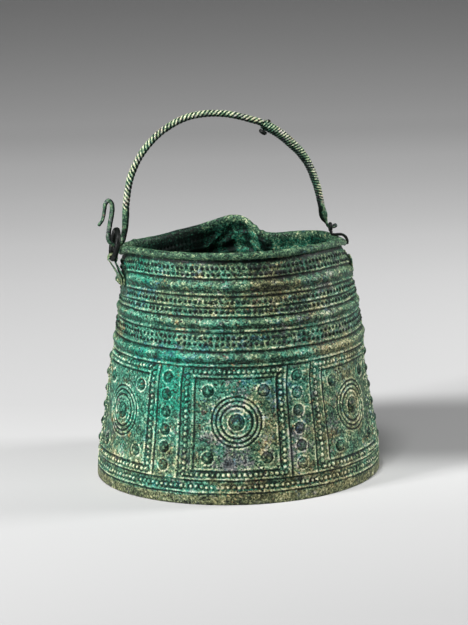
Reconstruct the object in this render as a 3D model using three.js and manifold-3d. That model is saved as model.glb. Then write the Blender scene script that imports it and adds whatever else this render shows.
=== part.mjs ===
// A bronze situla: a bucket of one riveted sheet, with a rolled rim, two strap lugs and a mended bail.
// Millimetres, +Z up. The origin is the centre of the base on the surface it stands on.
// The bail lies in the XZ plane with its swan-neck end at -X.
import * as THREE from "three";
import { mergeVertices } from "three/addons/utils/BufferGeometryUtils.js";
import Module from "manifold-3d";

const wasm = await Module();
wasm.setup();

// Clearances
const gap = 0.3;
const headGap = 0.45;

// Overall sizes of the bucket
const baseRadius = 120.5;
const rimRadius = 94.6;
const rimHeight = 200.3;

// Wall sheet
const sheetThickness = 0.9;
const turnedEdgeWidth = 8;
const baseCornerRadius = 1.2;

// The body's taper: how far each height above the ground has come from base to shoulder
const bodyTaper = [
  { height: 13, share: 0.027 },
  { height: 33, share: 0.188 },
  { height: 68, share: 0.495 },
  { height: 108, share: 0.785 },
];

// The shoulder and neck: depth below the rim, and radius beyond the rim's
const neckShape = [
  { below: 63.3, beyond: 7.3 },
  { below: 40.3, beyond: 4.2 },
  { below: 10.3, beyond: 0.7 },
  { below: 3.3, beyond: -1.7 },
];
const bodyHeights = [13, 33, 68, 90, 108];
const neckDepths = [70.3, 40.3, 12.3, 6.3];
const ribsBelowRim = [
  { from: 85.9, to: 77.8 },
  { from: 58, to: 50.3 },
  { from: 29, to: 19.7 },
];
const ribHeight = 2.2;
const ribSteps = 4;

// Rolled rim
const rimWireRadius = 1.8;
const lipRadius = rimWireRadius + gap + sheetThickness / 2;
const lipReach = lipRadius + sheetThickness / 2;
const lipStartAngle = 190;
const lipEndAngle = -75;
const lipSteps = 7;
const rimWireEndAngle = 315;

// How the old sheet has sunk. Angles are degrees round from the front, where the best panel is.
const frontAngle = -102;
const dentFoot = rimHeight - 70.3;
const dentTop = rimHeight - 5.3;
const leanOfBody = [
  [0, 0],
  [50, 1.2],
  [95, 1.2],
];
const leanOfNeck = [
  [rimHeight - 88.3, 3],
  [rimHeight - 40.3, 3],
  [rimHeight - 14.3, 0.3],
  [rimHeight - 0.3, -1.5],
];
const rimDents = [
  { at: -180, inward: 3, drop: -0.5 },
  { at: -173, inward: 4, drop: 2 },
  { at: -161, inward: 6, drop: 6.5 },
  { at: -148, inward: 8, drop: 8.5 },
  { at: -134, inward: 8, drop: 10.4 },
  { at: -110, inward: 5, drop: 9.5 },
  { at: -90, inward: 2, drop: 7.5 },
  { at: -78, inward: 1.2, drop: 6.8 },
  { at: -64, inward: 0.3, drop: 1.5 },
  { at: -45, inward: 0, drop: 0 },
  { at: 0, inward: 0, drop: 0 },
  { at: 50, inward: 0, drop: 0 },
  { at: 72, inward: 0, drop: 2 },
  { at: 90, inward: 0.3, drop: 7.5 },
  { at: 102, inward: 0.5, drop: 9 },
  { at: 121, inward: 4, drop: 8 },
  { at: 140, inward: 9, drop: 11 },
  { at: 153, inward: 12, drop: 13 },
  { at: 162, inward: 12, drop: 11.5 },
  { at: 167, inward: 8, drop: 7 },
  { at: 173, inward: 4, drop: 0.5 },
  { at: 180, inward: 3, drop: -0.5 },
];

// Base disc
const baseDiscThickness = 1;
const baseFlangeHeight = 6;
const baseDiscPlay = 0.6;

// Seam at the back: an even row up the body, then one rivet in each plain band of the neck
const seamAngle = 154.5;
const seamBodyRivets = 7;
const seamFirstRivet = 11;
const seamBelowLowestRib = 7.4;
const seamNeckDepths = [71.3, 42.3, 12.3];
const seamRivet = { shank: 1.1, head: 1.9, dome: 1 };

// Rivet shape, as shares of the head's radius and the dome's height
const insideHead = { radius: 0.9, height: 0.6 };
const domeShoulder = { radius: 0.75, height: 0.7 };

// Lugs
const lugThickness = 1;
const lugWidth = 24;
const lugNeckWidth = 6.5;
const lugNeckDrop = 4;
const lugShoulderDrop = 13.5;
const lugLegSpacing = 2.2;
const lugRivet = { shank: 1.3, head: 2.3, dome: 1.2 };
const lugRivetPitch = 7.5;
const lugStraightAboveRivets = 4;
const lugAngles = [-78, 102];
const flatHalfWidth = 8;
const flatFade = 7;
const leftLug = { side: -1, foot: rimHeight - 34.8, rivets: rimHeight - 31.1 };
const rightLug = { side: 1, foot: rimHeight - 37.3, rivets: rimHeight - 33.1 };
const brokenLugTop = { height: rimHeight - 20.3, lean: 0.9, drop: 3.5 };

// The broken edge, as (share of the lug's half width, share of the drop)
const brokenEdge = [
  [-1, -1],
  [-0.33, 0],
  [0.25, -0.5],
  [1, 0.33],
];

// Left ring
const ringRadius = 12;
const ringWireRadius = 2.4;
const ringLean = 11;
const ringPlay = 0.4;
const eyeClearance = 0.8;
const eyeLift = 0.27;
const eyeStartAngle = 235;
const eyeEndAngle = -55;
const ringCentre = { x: -(rimRadius + lipReach + ringWireRadius + ringPlay), z: rimHeight - 0.5 };

// Bail. Points along the rods are given as (x, height above the rim) for a bucket whose rim has the
// radius archDrawnFor, and spread with the rim.
const archDrawnFor = 94.6;
const archEnds = 80;
const bailRadius = 3;
const hookRodRadius = 2.3;
const hookPlay = 1.7;
const hookBendRadius = ringWireRadius + hookRodRadius + hookPlay;
const hookBottom = { x: ringCentre.x + 1.2, z: rimHeight - 0.8 };
const hookTaperHeight = 26;
const archPoints = [
  [-91.4, 11.7],
  [-90.4, 21.7],
  [-89.6, 32.6],
  [-87.7, 44.5],
  [-85.1, 54.9],
  [-81.5, 63.6],
  [-76.6, 72.3],
  [-70.4, 80.2],
  [-62.6, 88],
  [-54.1, 94.2],
  [-44.1, 99.6],
  [-33.4, 103.2],
  [-22.8, 104.6],
  [-12.2, 104.6],
  [-1.6, 103.5],
  [9, 101],
  [19.6, 97.6],
];

// The swan neck, as (x beyond the hook's outer leg, height above the rim)
const swanNeckPoints = [
  [0.3, 8.7],
  [1.2, 13.7],
  [2.4, 19.2],
  [3.5, 24.7],
  [4.2, 30.2],
  [3.5, 34.6],
  [1.1, 36.6],
  [-1.3, 34.3],
  [-2.4, 29.5],
  [-3.2, 24.7],
  [-4.8, 19.9],
  [-7.5, 16.5],
];
const swanNeckRadii = { leg: 2.1, tip: 1.4 };
const swanNeckTipShare = 0.14;

// Mend rod, lapped on at the top right
const lapPoint = { x: 28.2, above: 94 };
const lapTangent = -31;
const mendRadii = { lap: 4.3, middle: 3.6, end: 3 };
const mendTaperHeight = 30;
const mendPoints = [
  [43.9, 83.9],
  [52.9, 75.8],
  [60.4, 67.9],
  [65.7, 60],
  [69.4, 52.2],
  [72.7, 42.9],
  [75.3, 33.6],
  [77, 24.4],
  [78.6, 15.9],
  [79.9, 10.6],
  [81.4, 7.4],
];
const strap = { halfWidth: 3.6, halfThickness: 1.6, startAbove: 21.7, wideAbove: 13.7, endAbove: 5.5 };
const smallHook = { inside: 9.6, above: 2.9, bend: 2.7, rod: 1.2, stub: 1.9 };
const smallHookArc = { start: 205, end: 290, steps: 3 };
const smallHookStub = [
  [2.6, 0.3],
  [4.6, 1.1],
];
const lapSpacing = 0.9;
const tenon = { radius: 1.6, length: 8, root: 3 };
const lapPin = { shank: 0.8, at: 3.8, knobRadius: 3.8, knobDepth: 3.7, headRadius: 1.8, headDepth: 1 };

// The knob, as (share of its radius, share of its depth) from its end to the rod
const knobShape = [
  [0, 1],
  [0.7, 0.85],
  [1, 0.5],
  [0.9, 0],
];

// Right link, bent from wire: an eye round the small hook, then a strand as (x beyond the rim, y,
// height above the rim)
const linkWireRadius = 1.3;
const linkEyeClearance = 0.4;
const linkEye = { start: 235, end: 510, step: 25 };
const linkStrand = [
  [-8.9, 0.9, -1.1],
  [-8.8, 0.3, -2.3],
  [-7.8, 0, -3.6],
  [-5.6, 0, -3.9],
  [-2, 0, -3.8],
  [1, 0, -4.4],
  [3.6, 0, -6.4],
  [4.8, 0, -9.1],
  [4.8, 0, -11.8],
];

// Facets
const cornerSteps = 3;
const eyeSteps = 10;
const hookSteps = 6;
const roundSegments = 48;
const rodSides = 8;
const linkSides = 6;
const rivetSides = 10;
const pinSides = 12;
const drillSides = 12;
const ringSides = 10;
const ringSteps = 32;
const mainRodSteps = 68;
const mendRodSteps = 54;
const linkSteps = 44;

const degrees = Math.PI / 180;
const rightOfFront = [-Math.sin(frontAngle * degrees), Math.cos(frontAngle * degrees)];

function smooth(t) {
  const c = Math.min(1, Math.max(0, t));
  return c * c * (3 - 2 * c);
}

// A smooth curve through points [x, y], flat past its ends.
function through(points, x) {
  const last = points.length - 1;
  if (x <= points[0][0]) {
    return points[0][1];
  }
  if (x >= points[last][0]) {
    return points[last][1];
  }
  const slope = (i) => {
    const a = points[Math.max(0, i - 1)];
    const b = points[Math.min(last, i + 1)];
    return (b[1] - a[1]) / (b[0] - a[0]);
  };
  let i = 0;
  while (points[i + 1][0] < x) {
    i += 1;
  }
  const [x0, y0] = points[i];
  const [x1, y1] = points[i + 1];
  const h = x1 - x0;
  const t = (x - x0) / h;
  const rise = y1 - y0;
  const bend = (slope(i) * h - rise) * (1 - t) - (slope(i + 1) * h - rise) * t;
  return y0 + rise * t + t * (1 - t) * bend;
}

const ribs = ribsBelowRim.map((r) => ({ bottom: rimHeight - r.from, top: rimHeight - r.to }));
const shoulderRadius = rimRadius + neckShape[0].beyond;
const neckRadii = neckShape.map((n) => [rimHeight - n.below, rimRadius + n.beyond]);

// The body's points end where the neck's begin.
function belowNeck(points, top) {
  return points.filter(([height]) => height < top - gap);
}

const wallOuterRadii = [
  [0, baseRadius],
  ...belowNeck(
    bodyTaper.map((b) => [b.height, baseRadius + (shoulderRadius - baseRadius) * b.share]),
    neckRadii[0][0],
  ),
  ...neckRadii,
];
const leanByHeight = [...belowNeck(leanOfBody, leanOfNeck[0][0]), ...leanOfNeck];
const inwardPoints = rimDents.map((d) => [d.at, d.inward]);
const dropPoints = rimDents.map((d) => [d.at, d.drop]);

function wrapped(angle) {
  return ((((angle + 180) % 360) + 360) % 360) - 180;
}

function ribBulge(z) {
  const rib = ribs.find((r) => z > r.bottom && z < r.top);
  return rib ? ribHeight * Math.sin((Math.PI * (z - rib.bottom)) / (rib.top - rib.bottom)) : 0;
}

// The top rib is hammered flat under each lug: 1 there, 0 elsewhere.
function flattened(fromFront, height) {
  const topRib = ribs[ribs.length - 1];
  if (height < topRib.bottom) {
    return 0;
  }
  const away = Math.min(...lugAngles.map((a) => Math.abs(wrapped(fromFront - a))));
  return 1 - smooth((away - flatHalfWidth) / flatFade);
}

// The place of a point of the round, undented vessel once the sheet has sunk and leaned.
function settled(radius, fromFront, height) {
  const share = smooth((height - dentFoot) / (dentTop - dentFoot));
  const at = wrapped(fromFront);
  const flat = ribBulge(height) * flattened(at, height);
  const r = radius - flat - through(inwardPoints, at) * share;
  const z = height - through(dropPoints, at) * share;
  const lean = through(leanByHeight, height);
  const theta = (frontAngle + fromFront) * degrees;
  return new THREE.Vector3(
    r * Math.cos(theta) + lean * rightOfFront[0],
    r * Math.sin(theta) + lean * rightOfFront[1],
    z,
  );
}

function wallOuterRadius(z) {
  return through(wallOuterRadii, z) + ribBulge(z);
}

// Offsets an open line by half a thickness to both sides and closes it into an outline.
function ribbon(line, thickness) {
  const side = (sign) =>
    line.map((p, i) => {
      const a = line[Math.max(0, i - 1)];
      const b = line[Math.min(line.length - 1, i + 1)];
      const length = Math.hypot(b[0] - a[0], b[1] - a[1]);
      const n = [(b[1] - a[1]) / length, -(b[0] - a[0]) / length];
      return [p[0] + (sign * n[0] * thickness) / 2, p[1] + (sign * n[1] * thickness) / 2];
    });
  return [...side(1), ...side(-1).reverse()];
}

function arc(centre, radius, from, to, steps) {
  const points = [];
  for (let i = 0; i <= steps; i += 1) {
    const a = (from + ((to - from) * i) / steps) * degrees;
    points.push([centre[0] + radius * Math.cos(a), centre[1] + radius * Math.sin(a)]);
  }
  return points;
}

// Turns a closed outline of points (radius, height) about Z and lets the result sink like the sheet.
function turned(outline, segments = roundSegments) {
  const profile = [...outline, outline[0]].map(([r, z]) => new THREE.Vector2(r, z));
  const geometry = new THREE.LatheGeometry(profile, segments);
  geometry.rotateX(Math.PI / 2);
  const position = geometry.attributes.position;
  for (let i = 0; i < position.count; i += 1) {
    const x = position.getX(i);
    const y = position.getY(i);
    const fromFront = Math.atan2(y, x) / degrees - frontAngle;
    const p = settled(Math.hypot(x, y), fromFront, position.getZ(i));
    position.setXYZ(i, p.x, p.y, p.z);
  }
  return geometry;
}

function solidOf(geometry) {
  const bare = geometry.index ? geometry.toNonIndexed() : geometry.clone();
  bare.deleteAttribute("normal");
  bare.deleteAttribute("uv");
  const merged = mergeVertices(bare, 1e-4);
  return new wasm.Manifold(
    new wasm.Mesh({
      numProp: 3,
      vertProperties: merged.attributes.position.array,
      triVerts: new Uint32Array(merged.index.array),
    }),
  );
}

function geometryOf(solid) {
  const mesh = solid.getMesh();
  const geometry = new THREE.BufferGeometry();
  const position = new THREE.BufferAttribute(new Float32Array(mesh.vertProperties), 3);
  geometry.setAttribute("position", position);
  geometry.setIndex(new THREE.BufferAttribute(mesh.triVerts, 1));
  return geometry;
}

// A straight round bar from one point to another, used as a drill.
function bar(from, to, radius) {
  const length = from.distanceTo(to);
  const geometry = new THREE.CylinderGeometry(radius, radius, length, drillSides);
  const direction = to.clone().sub(from).normalize();
  const turn = new THREE.Quaternion().setFromUnitVectors(new THREE.Vector3(0, 1, 0), direction);
  geometry.applyQuaternion(turn);
  const middle = from.clone().add(to).multiplyScalar(0.5);
  geometry.translate(middle.x, middle.y, middle.z);
  return geometry;
}

function drilled(geometry, bars) {
  let solid = solidOf(geometry);
  for (const b of bars) {
    solid = solid.subtract(solidOf(bar(b.from, b.to, b.radius)));
  }
  return geometryOf(solid);
}

// A tube with its own half sizes at each step, closed at both ends. frames gives a point and two axes.
function swept(steps, frameAt, sides = rodSides) {
  const vertices = [];
  const faces = [];
  for (let i = 0; i <= steps; i += 1) {
    const f = frameAt(i / steps);
    for (let j = 0; j < sides; j += 1) {
      const a = (2 * Math.PI * j) / sides;
      const p = f.point.clone();
      p.addScaledVector(f.u, f.halfU * Math.cos(a));
      p.addScaledVector(f.v, f.halfV * Math.sin(a));
      vertices.push(p.x, p.y, p.z);
    }
  }
  for (let i = 0; i < steps; i += 1) {
    for (let j = 0; j < sides; j += 1) {
      const a = i * sides + j;
      const b = i * sides + ((j + 1) % sides);
      faces.push(a, b, b + sides, a, b + sides, a + sides);
    }
  }
  const end = steps * sides;
  for (let j = 1; j < sides - 1; j += 1) {
    faces.push(0, j + 1, j, end, end + j, end + j + 1);
  }
  const geometry = new THREE.BufferGeometry();
  geometry.setAttribute("position", new THREE.BufferAttribute(new Float32Array(vertices), 3));
  geometry.setIndex(faces);
  return geometry;
}

// A tube along a line in the XZ plane: halfIn is across the line in that plane, halfDeep is along Y.
function sweptInPlane(points, steps, sizeAt) {
  const curve = new THREE.CatmullRomCurve3(
    points.map(([x, z]) => new THREE.Vector3(x, 0, z)),
    false,
    "centripetal",
  );
  const depth = new THREE.Vector3(0, 1, 0);
  return swept(steps, (t) => {
    const tangent = curve.getTangentAt(t);
    const size = sizeAt(t, curve.getPointAt(t));
    return {
      point: curve.getPointAt(t),
      u: depth,
      v: new THREE.Vector3().crossVectors(tangent, depth),
      halfU: size.halfDeep,
      halfV: size.halfIn,
    };
  });
}

function material(color, roughness, metalness) {
  return new THREE.MeshStandardMaterial({ color, roughness, metalness });
}

const part = new THREE.Group();

function addPiece(name, geometry, finish) {
  const mesh = new THREE.Mesh(geometry, material(...finish));
  mesh.name = name;
  part.add(mesh);
}

const verdigris = [0x4f9a80, 0.7, 0.35];
const baseBronze = [0x5d6a4c, 0.7, 0.4];
const handleGreen = [0x4a7a66, 0.6, 0.45];
const darkRing = [0x1d2422, 0.6, 0.5];
const rivetGreen = [0x5f8f74, 0.7, 0.4];

// Wall sheet

function wallLine() {
  const half = sheetThickness / 2;
  const foot = baseRadius - half;
  const ribHeights = ribs.flatMap((rib) =>
    Array.from({ length: ribSteps + 1 }, (_, i) => rib.bottom + ((rib.top - rib.bottom) * i) / ribSteps),
  );
  const plainHeights = [
    ...bodyHeights.filter((z) => z < ribs[0].bottom - gap),
    ...neckDepths.map((d) => rimHeight - d),
  ];
  const heights = [...plainHeights, ...ribHeights].sort((a, b) => a - b);
  const corner = [foot - baseCornerRadius, half + baseCornerRadius];
  return [
    [foot - turnedEdgeWidth, half],
    ...arc(corner, baseCornerRadius, -90, 0, cornerSteps),
    ...heights.map((z) => [wallOuterRadius(z) - half, z]),
    ...arc([rimRadius, rimHeight], lipRadius, lipStartAngle, lipEndAngle, lipSteps),
  ];
}

// The step at which the sheet's face is followed, in millimetres and degrees
const traceStep = 1;

// The sheet's outer face: its place and outward direction.
function sheetFace(fromFront, height) {
  const step = traceStep / 2;
  const at = (a, z) => settled(wallOuterRadius(z), a, z);
  const point = at(fromFront, height);
  const round = at(fromFront + step, height).sub(at(fromFront - step, height));
  const up = at(fromFront, height + step).sub(at(fromFront, height - step));
  return { point, normal: new THREE.Vector3().crossVectors(round, up).normalize() };
}

// How far out along the lug's side the sheet's outer face is, at a height above the ground.
function faceReach(side, y, z) {
  const middle = side < 0 ? lugAngles[0] : lugAngles[1];
  const fromFront = middle + (side * Math.asin(y / rimRadius)) / degrees;
  const trace = [];
  for (let h = dentTop; h > dentFoot; h -= traceStep) {
    const p = settled(wallOuterRadius(h), fromFront, h);
    trace.push([p.z, side * p.x]);
  }
  trace.sort((a, b) => a[0] - b[0]);
  const above = trace.findIndex((p) => p[0] >= z);
  const [z0, x0] = trace[above - 1];
  const [z1, x1] = trace[above];
  return x0 + ((x1 - x0) * (z - z0)) / (z1 - z0);
}

// The furthest reach of the face between two heights, so that a flat leg clears the rib.
function widestReach(side, y, low, high) {
  let widest = 0;
  for (let z = low; z <= high; z += traceStep) {
    widest = Math.max(widest, faceReach(side, y, z));
  }
  return widest;
}

// Rivets: a domed head outside, a flat head inside, and a shank that runs through the grip.

function rivetGeometry(rivet, grip) {
  const seat = grip + headGap;
  const insideRadius = rivet.head * insideHead.radius;
  const insideEnd = -headGap - rivet.dome * insideHead.height;
  const profile = [
    [0, insideEnd],
    [insideRadius, insideEnd],
    [insideRadius, -headGap],
    [rivet.shank, -headGap],
    [rivet.shank, seat],
    [rivet.head, seat],
    [rivet.head * domeShoulder.radius, seat + rivet.dome * domeShoulder.height],
    [0, seat + rivet.dome],
  ].map(([r, z]) => new THREE.Vector2(r, z));
  return new THREE.LatheGeometry(profile, rivetSides);
}

// Places a rivet so that its grip starts at inside and runs along direction.
function placedRivet(rivet, grip, inside, direction) {
  const geometry = rivetGeometry(rivet, grip);
  const turn = new THREE.Quaternion().setFromUnitVectors(new THREE.Vector3(0, 1, 0), direction);
  geometry.applyQuaternion(turn);
  geometry.translate(inside.x, inside.y, inside.z);
  return geometry;
}

function hole(rivet, inside, direction, grip) {
  const reach = rivet.head;
  return {
    from: inside.clone().addScaledVector(direction, -reach),
    to: inside.clone().addScaledVector(direction, grip + reach),
    radius: rivet.shank + gap,
  };
}

const seamTop = ribs[0].bottom - seamBelowLowestRib;
const seamPitch = (seamTop - seamFirstRivet) / (seamBodyRivets - 1);
const seamRivets = [
  ...Array.from({ length: seamBodyRivets }, (_, i) => seamFirstRivet + seamPitch * i),
  ...seamNeckDepths.map((d) => rimHeight - d),
].map((height) => {
  const face = sheetFace(seamAngle, height);
  const inside = face.point.clone().addScaledVector(face.normal, -sheetThickness);
  return { inside, direction: face.normal, grip: sheetThickness };
});

// Lugs. A leg stands upright, clear of the widest part of the wall behind it.
function legReach(lug) {
  const top = lug.rivets + lugShoulderDrop;
  return widestReach(lug.side, 0, lug.foot, top) + gap + lugThickness / 2;
}

// The least reach of the face behind a rivet's head, so that the head clears a slanting wall.
function narrowestReach(lug, y) {
  const reaches = [-1, 0, 1].flatMap((across) =>
    [-1, 1].map((up) =>
      faceReach(lug.side, y + across * lugRivet.head, lug.rivets + up * lugRivet.head),
    ),
  );
  return Math.min(...reaches);
}

function ringFoot() {
  const lean = ringLean * degrees;
  return {
    x: ringCentre.x - ringRadius * Math.sin(lean),
    z: ringCentre.z - ringRadius * Math.cos(lean),
  };
}

// Left lug: a strap folded round the foot of the ring, with both legs riveted to the wall
function leftLugLine() {
  const ring = ringFoot();
  const eye = [-ring.x, ring.z + eyeLift];
  const eyeRadius = ringWireRadius + eyeClearance + lugThickness / 2;
  const inner = legReach(leftLug);
  const outer = inner + lugLegSpacing;
  const straightTop = leftLug.rivets + lugStraightAboveRivets;
  return [
    [inner, leftLug.foot],
    [inner, straightTop],
    ...arc(eye, eyeRadius, eyeStartAngle, eyeEndAngle, eyeSteps),
    [outer, straightTop],
    [outer, leftLug.foot + lugThickness],
  ];
}

// Right lug: one leg, all that is left of it, leaning in at its broken top
function rightLugLine() {
  const reach = legReach(rightLug);
  return [
    [reach, rightLug.foot],
    [reach, rightLug.rivets + lugStraightAboveRivets],
    [reach - brokenLugTop.lean, brokenLugTop.height + brokenLugTop.drop],
  ];
}

function lugRivetPlaces(lug, legSpacing) {
  return [-lugRivetPitch, 0, lugRivetPitch].map((y) => {
    const direction = new THREE.Vector3(lug.side, 0, 0);
    const inner = narrowestReach(lug, y) - sheetThickness - gap;
    const outer = legReach(lug) + legSpacing + lugThickness / 2;
    return {
      inside: new THREE.Vector3(lug.side * inner, y, lug.rivets),
      direction,
      grip: outer - inner,
    };
  });
}

// A plate that is as wide as the lug, bent along a line of points (distance from the axis, height)
function bentPlate(lug, line) {
  const outline = ribbon(line, lugThickness);
  const shape = new THREE.Shape(outline.map(([x, z]) => new THREE.Vector2(lug.side * x, z)));
  const plate = new THREE.ExtrudeGeometry(shape, { depth: lugWidth, bevelEnabled: false });
  plate.rotateX(Math.PI / 2);
  plate.translate(0, lugWidth / 2, 0);
  return solidOf(plate);
}

// A block that cuts everything inside an outline of points (y, height) off a lug
function lugCutter(lug, points) {
  const shape = new THREE.Shape(points.map(([y, z]) => new THREE.Vector2(y, z)));
  const block = new THREE.ExtrudeGeometry(shape, { depth: lugWidth, bevelEnabled: false });
  block.rotateX(Math.PI / 2);
  block.rotateZ(Math.PI / 2);
  block.translate(lug.side * (rimRadius + lipReach) - lugWidth / 2, 0, 0);
  return solidOf(block);
}

function drillRivets(solid, rivets) {
  let drilledSolid = solid;
  for (const r of rivets) {
    const h = hole(lugRivet, r.inside, r.direction, r.grip);
    drilledSolid = drilledSolid.subtract(solidOf(bar(h.from, h.to, h.radius)));
  }
  return geometryOf(drilledSolid);
}

function leftLugGeometry(rivets) {
  let solid = bentPlate(leftLug, leftLugLine());
  const neck = lugNeckWidth / 2;
  const edge = lugWidth / 2 + gap;
  const eyeFoot = ringFoot().z;
  const top = eyeFoot + lugWidth;
  for (const side of [-1, 1]) {
    solid = solid.subtract(
      lugCutter(leftLug, [
        [side * neck, top],
        [side * neck, eyeFoot - lugNeckDrop],
        [side * edge, eyeFoot - lugShoulderDrop],
        [side * edge, top],
      ]),
    );
  }
  return drillRivets(solid, rivets);
}

function rightLugGeometry(rivets) {
  const edge = lugWidth / 2 + gap;
  const top = brokenLugTop.height + lugWidth;
  const broken = brokenEdge.map(([y, z]) => [edge * y, brokenLugTop.height + brokenLugTop.drop * z]);
  const brokenOff = lugCutter(rightLug, [[-edge, top], ...broken, [edge, top]]);
  return drillRivets(bentPlate(rightLug, rightLugLine()).subtract(brokenOff), rivets);
}

const leftLugRivets = lugRivetPlaces(leftLug, lugLegSpacing);
const rightLugRivets = lugRivetPlaces(rightLug, 0);

addPiece(
  "wall_sheet",
  drilled(turned(ribbon(wallLine(), sheetThickness)), [
    ...seamRivets.map((r) => hole(seamRivet, r.inside, r.direction, r.grip)),
    ...[...leftLugRivets, ...rightLugRivets].map((r) =>
      hole(lugRivet, r.inside, r.direction, 2 * sheetThickness),
    ),
  ]),
  verdigris,
);

// Rim wire, inside the rolled lip
addPiece(
  "rim_wire",
  turned(arc([rimRadius, rimHeight], rimWireRadius, 0, rimWireEndAngle, lipSteps)),
  verdigris,
);

// Base disc: a pan that stands on the turned-in edge
function baseDiscOutline() {
  const rest = sheetThickness + gap;
  const reach = through(wallOuterRadii, baseFlangeHeight) - sheetThickness - gap - baseDiscPlay;
  const inner = reach - baseDiscThickness;
  return [
    [0, rest],
    [reach - baseCornerRadius, rest],
    [reach, rest + baseCornerRadius],
    [reach, rest + baseFlangeHeight],
    [inner, rest + baseFlangeHeight],
    [inner, rest + baseDiscThickness + baseCornerRadius],
    [inner - baseCornerRadius, rest + baseDiscThickness],
    [0, rest + baseDiscThickness],
  ];
}

function baseDiscGeometry() {
  const profile = baseDiscOutline().map(([r, z]) => new THREE.Vector2(r, z));
  const geometry = new THREE.LatheGeometry(profile, roundSegments);
  geometry.rotateX(Math.PI / 2);
  return geometry;
}

addPiece("base_disc", baseDiscGeometry(), baseBronze);

seamRivets.forEach((r, i) => {
  const number = String(i + 1).padStart(2, "0");
  addPiece(
    `seam_rivet_${number}`,
    placedRivet(seamRivet, r.grip, r.inside, r.direction),
    rivetGreen,
  );
});

addPiece("left_lug", leftLugGeometry(leftLugRivets), verdigris);
addPiece("right_lug", rightLugGeometry(rightLugRivets), verdigris);

for (const [side, rivets] of [
  ["left", leftLugRivets],
  ["right", rightLugRivets],
]) {
  rivets.forEach((r, i) => {
    addPiece(
      `${side}_lug_rivet_${i + 1}`,
      placedRivet(lugRivet, r.grip, r.inside, r.direction),
      rivetGreen,
    );
  });
}

// Left ring, standing in the left lug's eye
function ringGeometry() {
  const geometry = new THREE.TorusGeometry(ringRadius, ringWireRadius, ringSides, ringSteps);
  geometry.rotateY(Math.PI / 2);
  geometry.rotateY(ringLean * degrees);
  geometry.translate(ringCentre.x, 0, ringCentre.z);
  return geometry;
}

addPiece("left_ring", ringGeometry(), darkRing);

// Lets the bail's points follow the rim: the ends move with it, and the middle of the arch stays.
function followingRim([x, above]) {
  const share = Math.min(1, Math.max(-1, x / archEnds));
  return [x + (rimRadius - archDrawnFor) * share, rimHeight + above];
}

// Bail, main rod: tenon end, arch, hook and swan neck
function hookPoints() {
  const centre = [hookBottom.x, hookBottom.z + hookBendRadius];
  return arc(centre, hookBendRadius, -180, 0, hookSteps);
}

function mainRodRadius(t, point) {
  if (t < swanNeckTipShare) {
    const share = smooth(t / swanNeckTipShare);
    return swanNeckRadii.tip + (swanNeckRadii.leg - swanNeckRadii.tip) * share;
  }
  if (point.x < hookBottom.x) {
    return swanNeckRadii.leg;
  }
  const share = smooth((point.z - hookBottom.z) / hookTaperHeight);
  return hookRodRadius + (bailRadius - hookRodRadius) * share;
}

function lapPlace() {
  const [x, z] = followingRim([lapPoint.x, lapPoint.above]);
  return new THREE.Vector3(x, 0, z);
}

function lapDirection() {
  const a = lapTangent * degrees;
  return new THREE.Vector3(Math.cos(a), 0, Math.sin(a));
}

function alongLap(distance) {
  return lapPlace().addScaledVector(lapDirection(), distance);
}

// Points (x, height) that keep the end of a rod straight at the lap, from its face to the tenon's end
function straightAtLap(side, run) {
  return [(side * lapSpacing) / 2, (side * run) / 2, side * run].map((distance) => {
    const point = alongLap(distance);
    return [point.x, point.z];
  });
}

function mainRodGeometry() {
  const outerLeg = hookBottom.x - hookBendRadius;
  const neck = swanNeckPoints.map(([x, above]) => [outerLeg + x, rimHeight + above]);
  const arch = archPoints.map(followingRim);
  const lapEnd = straightAtLap(-1, tenon.root).reverse();
  const points = [...neck.reverse(), ...hookPoints(), ...arch, ...lapEnd];
  const rod = sweptInPlane(points, mainRodSteps, (t, point) => {
    const radius = mainRodRadius(t, point);
    return { halfIn: radius, halfDeep: radius };
  });
  return solidOf(rod).add(solidOf(bar(alongLap(-tenon.root), alongLap(tenon.length), tenon.radius)));
}

// Bail, mend rod: a socket for the tenon, fine-twisted rod, flat strap and small hook
const smallHookPlace = { x: rimRadius - smallHook.inside, z: rimHeight + smallHook.above };

function between(low, high, share) {
  return low + (high - low) * share;
}

function mendRodSize(point) {
  const above = point.z - rimHeight;
  if (point.x > smallHookPlace.x) {
    const share = smooth((point.x - smallHookPlace.x - linkWireRadius) / smallHook.stub);
    const radius = between(smallHook.rod, smallHook.stub, share);
    return { halfIn: radius, halfDeep: radius };
  }
  if (above < strap.wideAbove) {
    const share = smooth((above - strap.endAbove) / (strap.wideAbove - strap.endAbove));
    return {
      halfIn: between(smallHook.rod, strap.halfWidth, share),
      halfDeep: between(smallHook.rod, strap.halfThickness, share),
    };
  }
  if (above < strap.startAbove) {
    const share = smooth((above - strap.wideAbove) / (strap.startAbove - strap.wideAbove));
    return {
      halfIn: between(strap.halfWidth, mendRadii.end, share),
      halfDeep: between(strap.halfThickness, mendRadii.end, share),
    };
  }
  const lower = smooth((above - strap.startAbove) / mendTaperHeight);
  const upper = smooth((above - strap.startAbove - mendTaperHeight) / mendTaperHeight);
  const toMiddle = (mendRadii.middle - mendRadii.end) * lower;
  const toLap = (mendRadii.lap - mendRadii.middle) * upper;
  const radius = mendRadii.end + toMiddle + toLap;
  return { halfIn: radius, halfDeep: radius };
}

function mendRodGeometry() {
  const centre = [smallHookPlace.x, smallHookPlace.z + smallHook.bend];
  const curl = smallHookArc;
  const hook = arc(centre, smallHook.bend, curl.start, curl.end, curl.steps);
  const stub = smallHookStub.map(([x, z]) => [smallHookPlace.x + x, smallHookPlace.z + z]);
  const lapEnd = straightAtLap(1, tenon.length);
  const points = [...lapEnd, ...mendPoints.map(followingRim), ...hook, ...stub];
  return sweptInPlane(points, mendRodSteps, (t, point) => mendRodSize(point));
}

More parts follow.
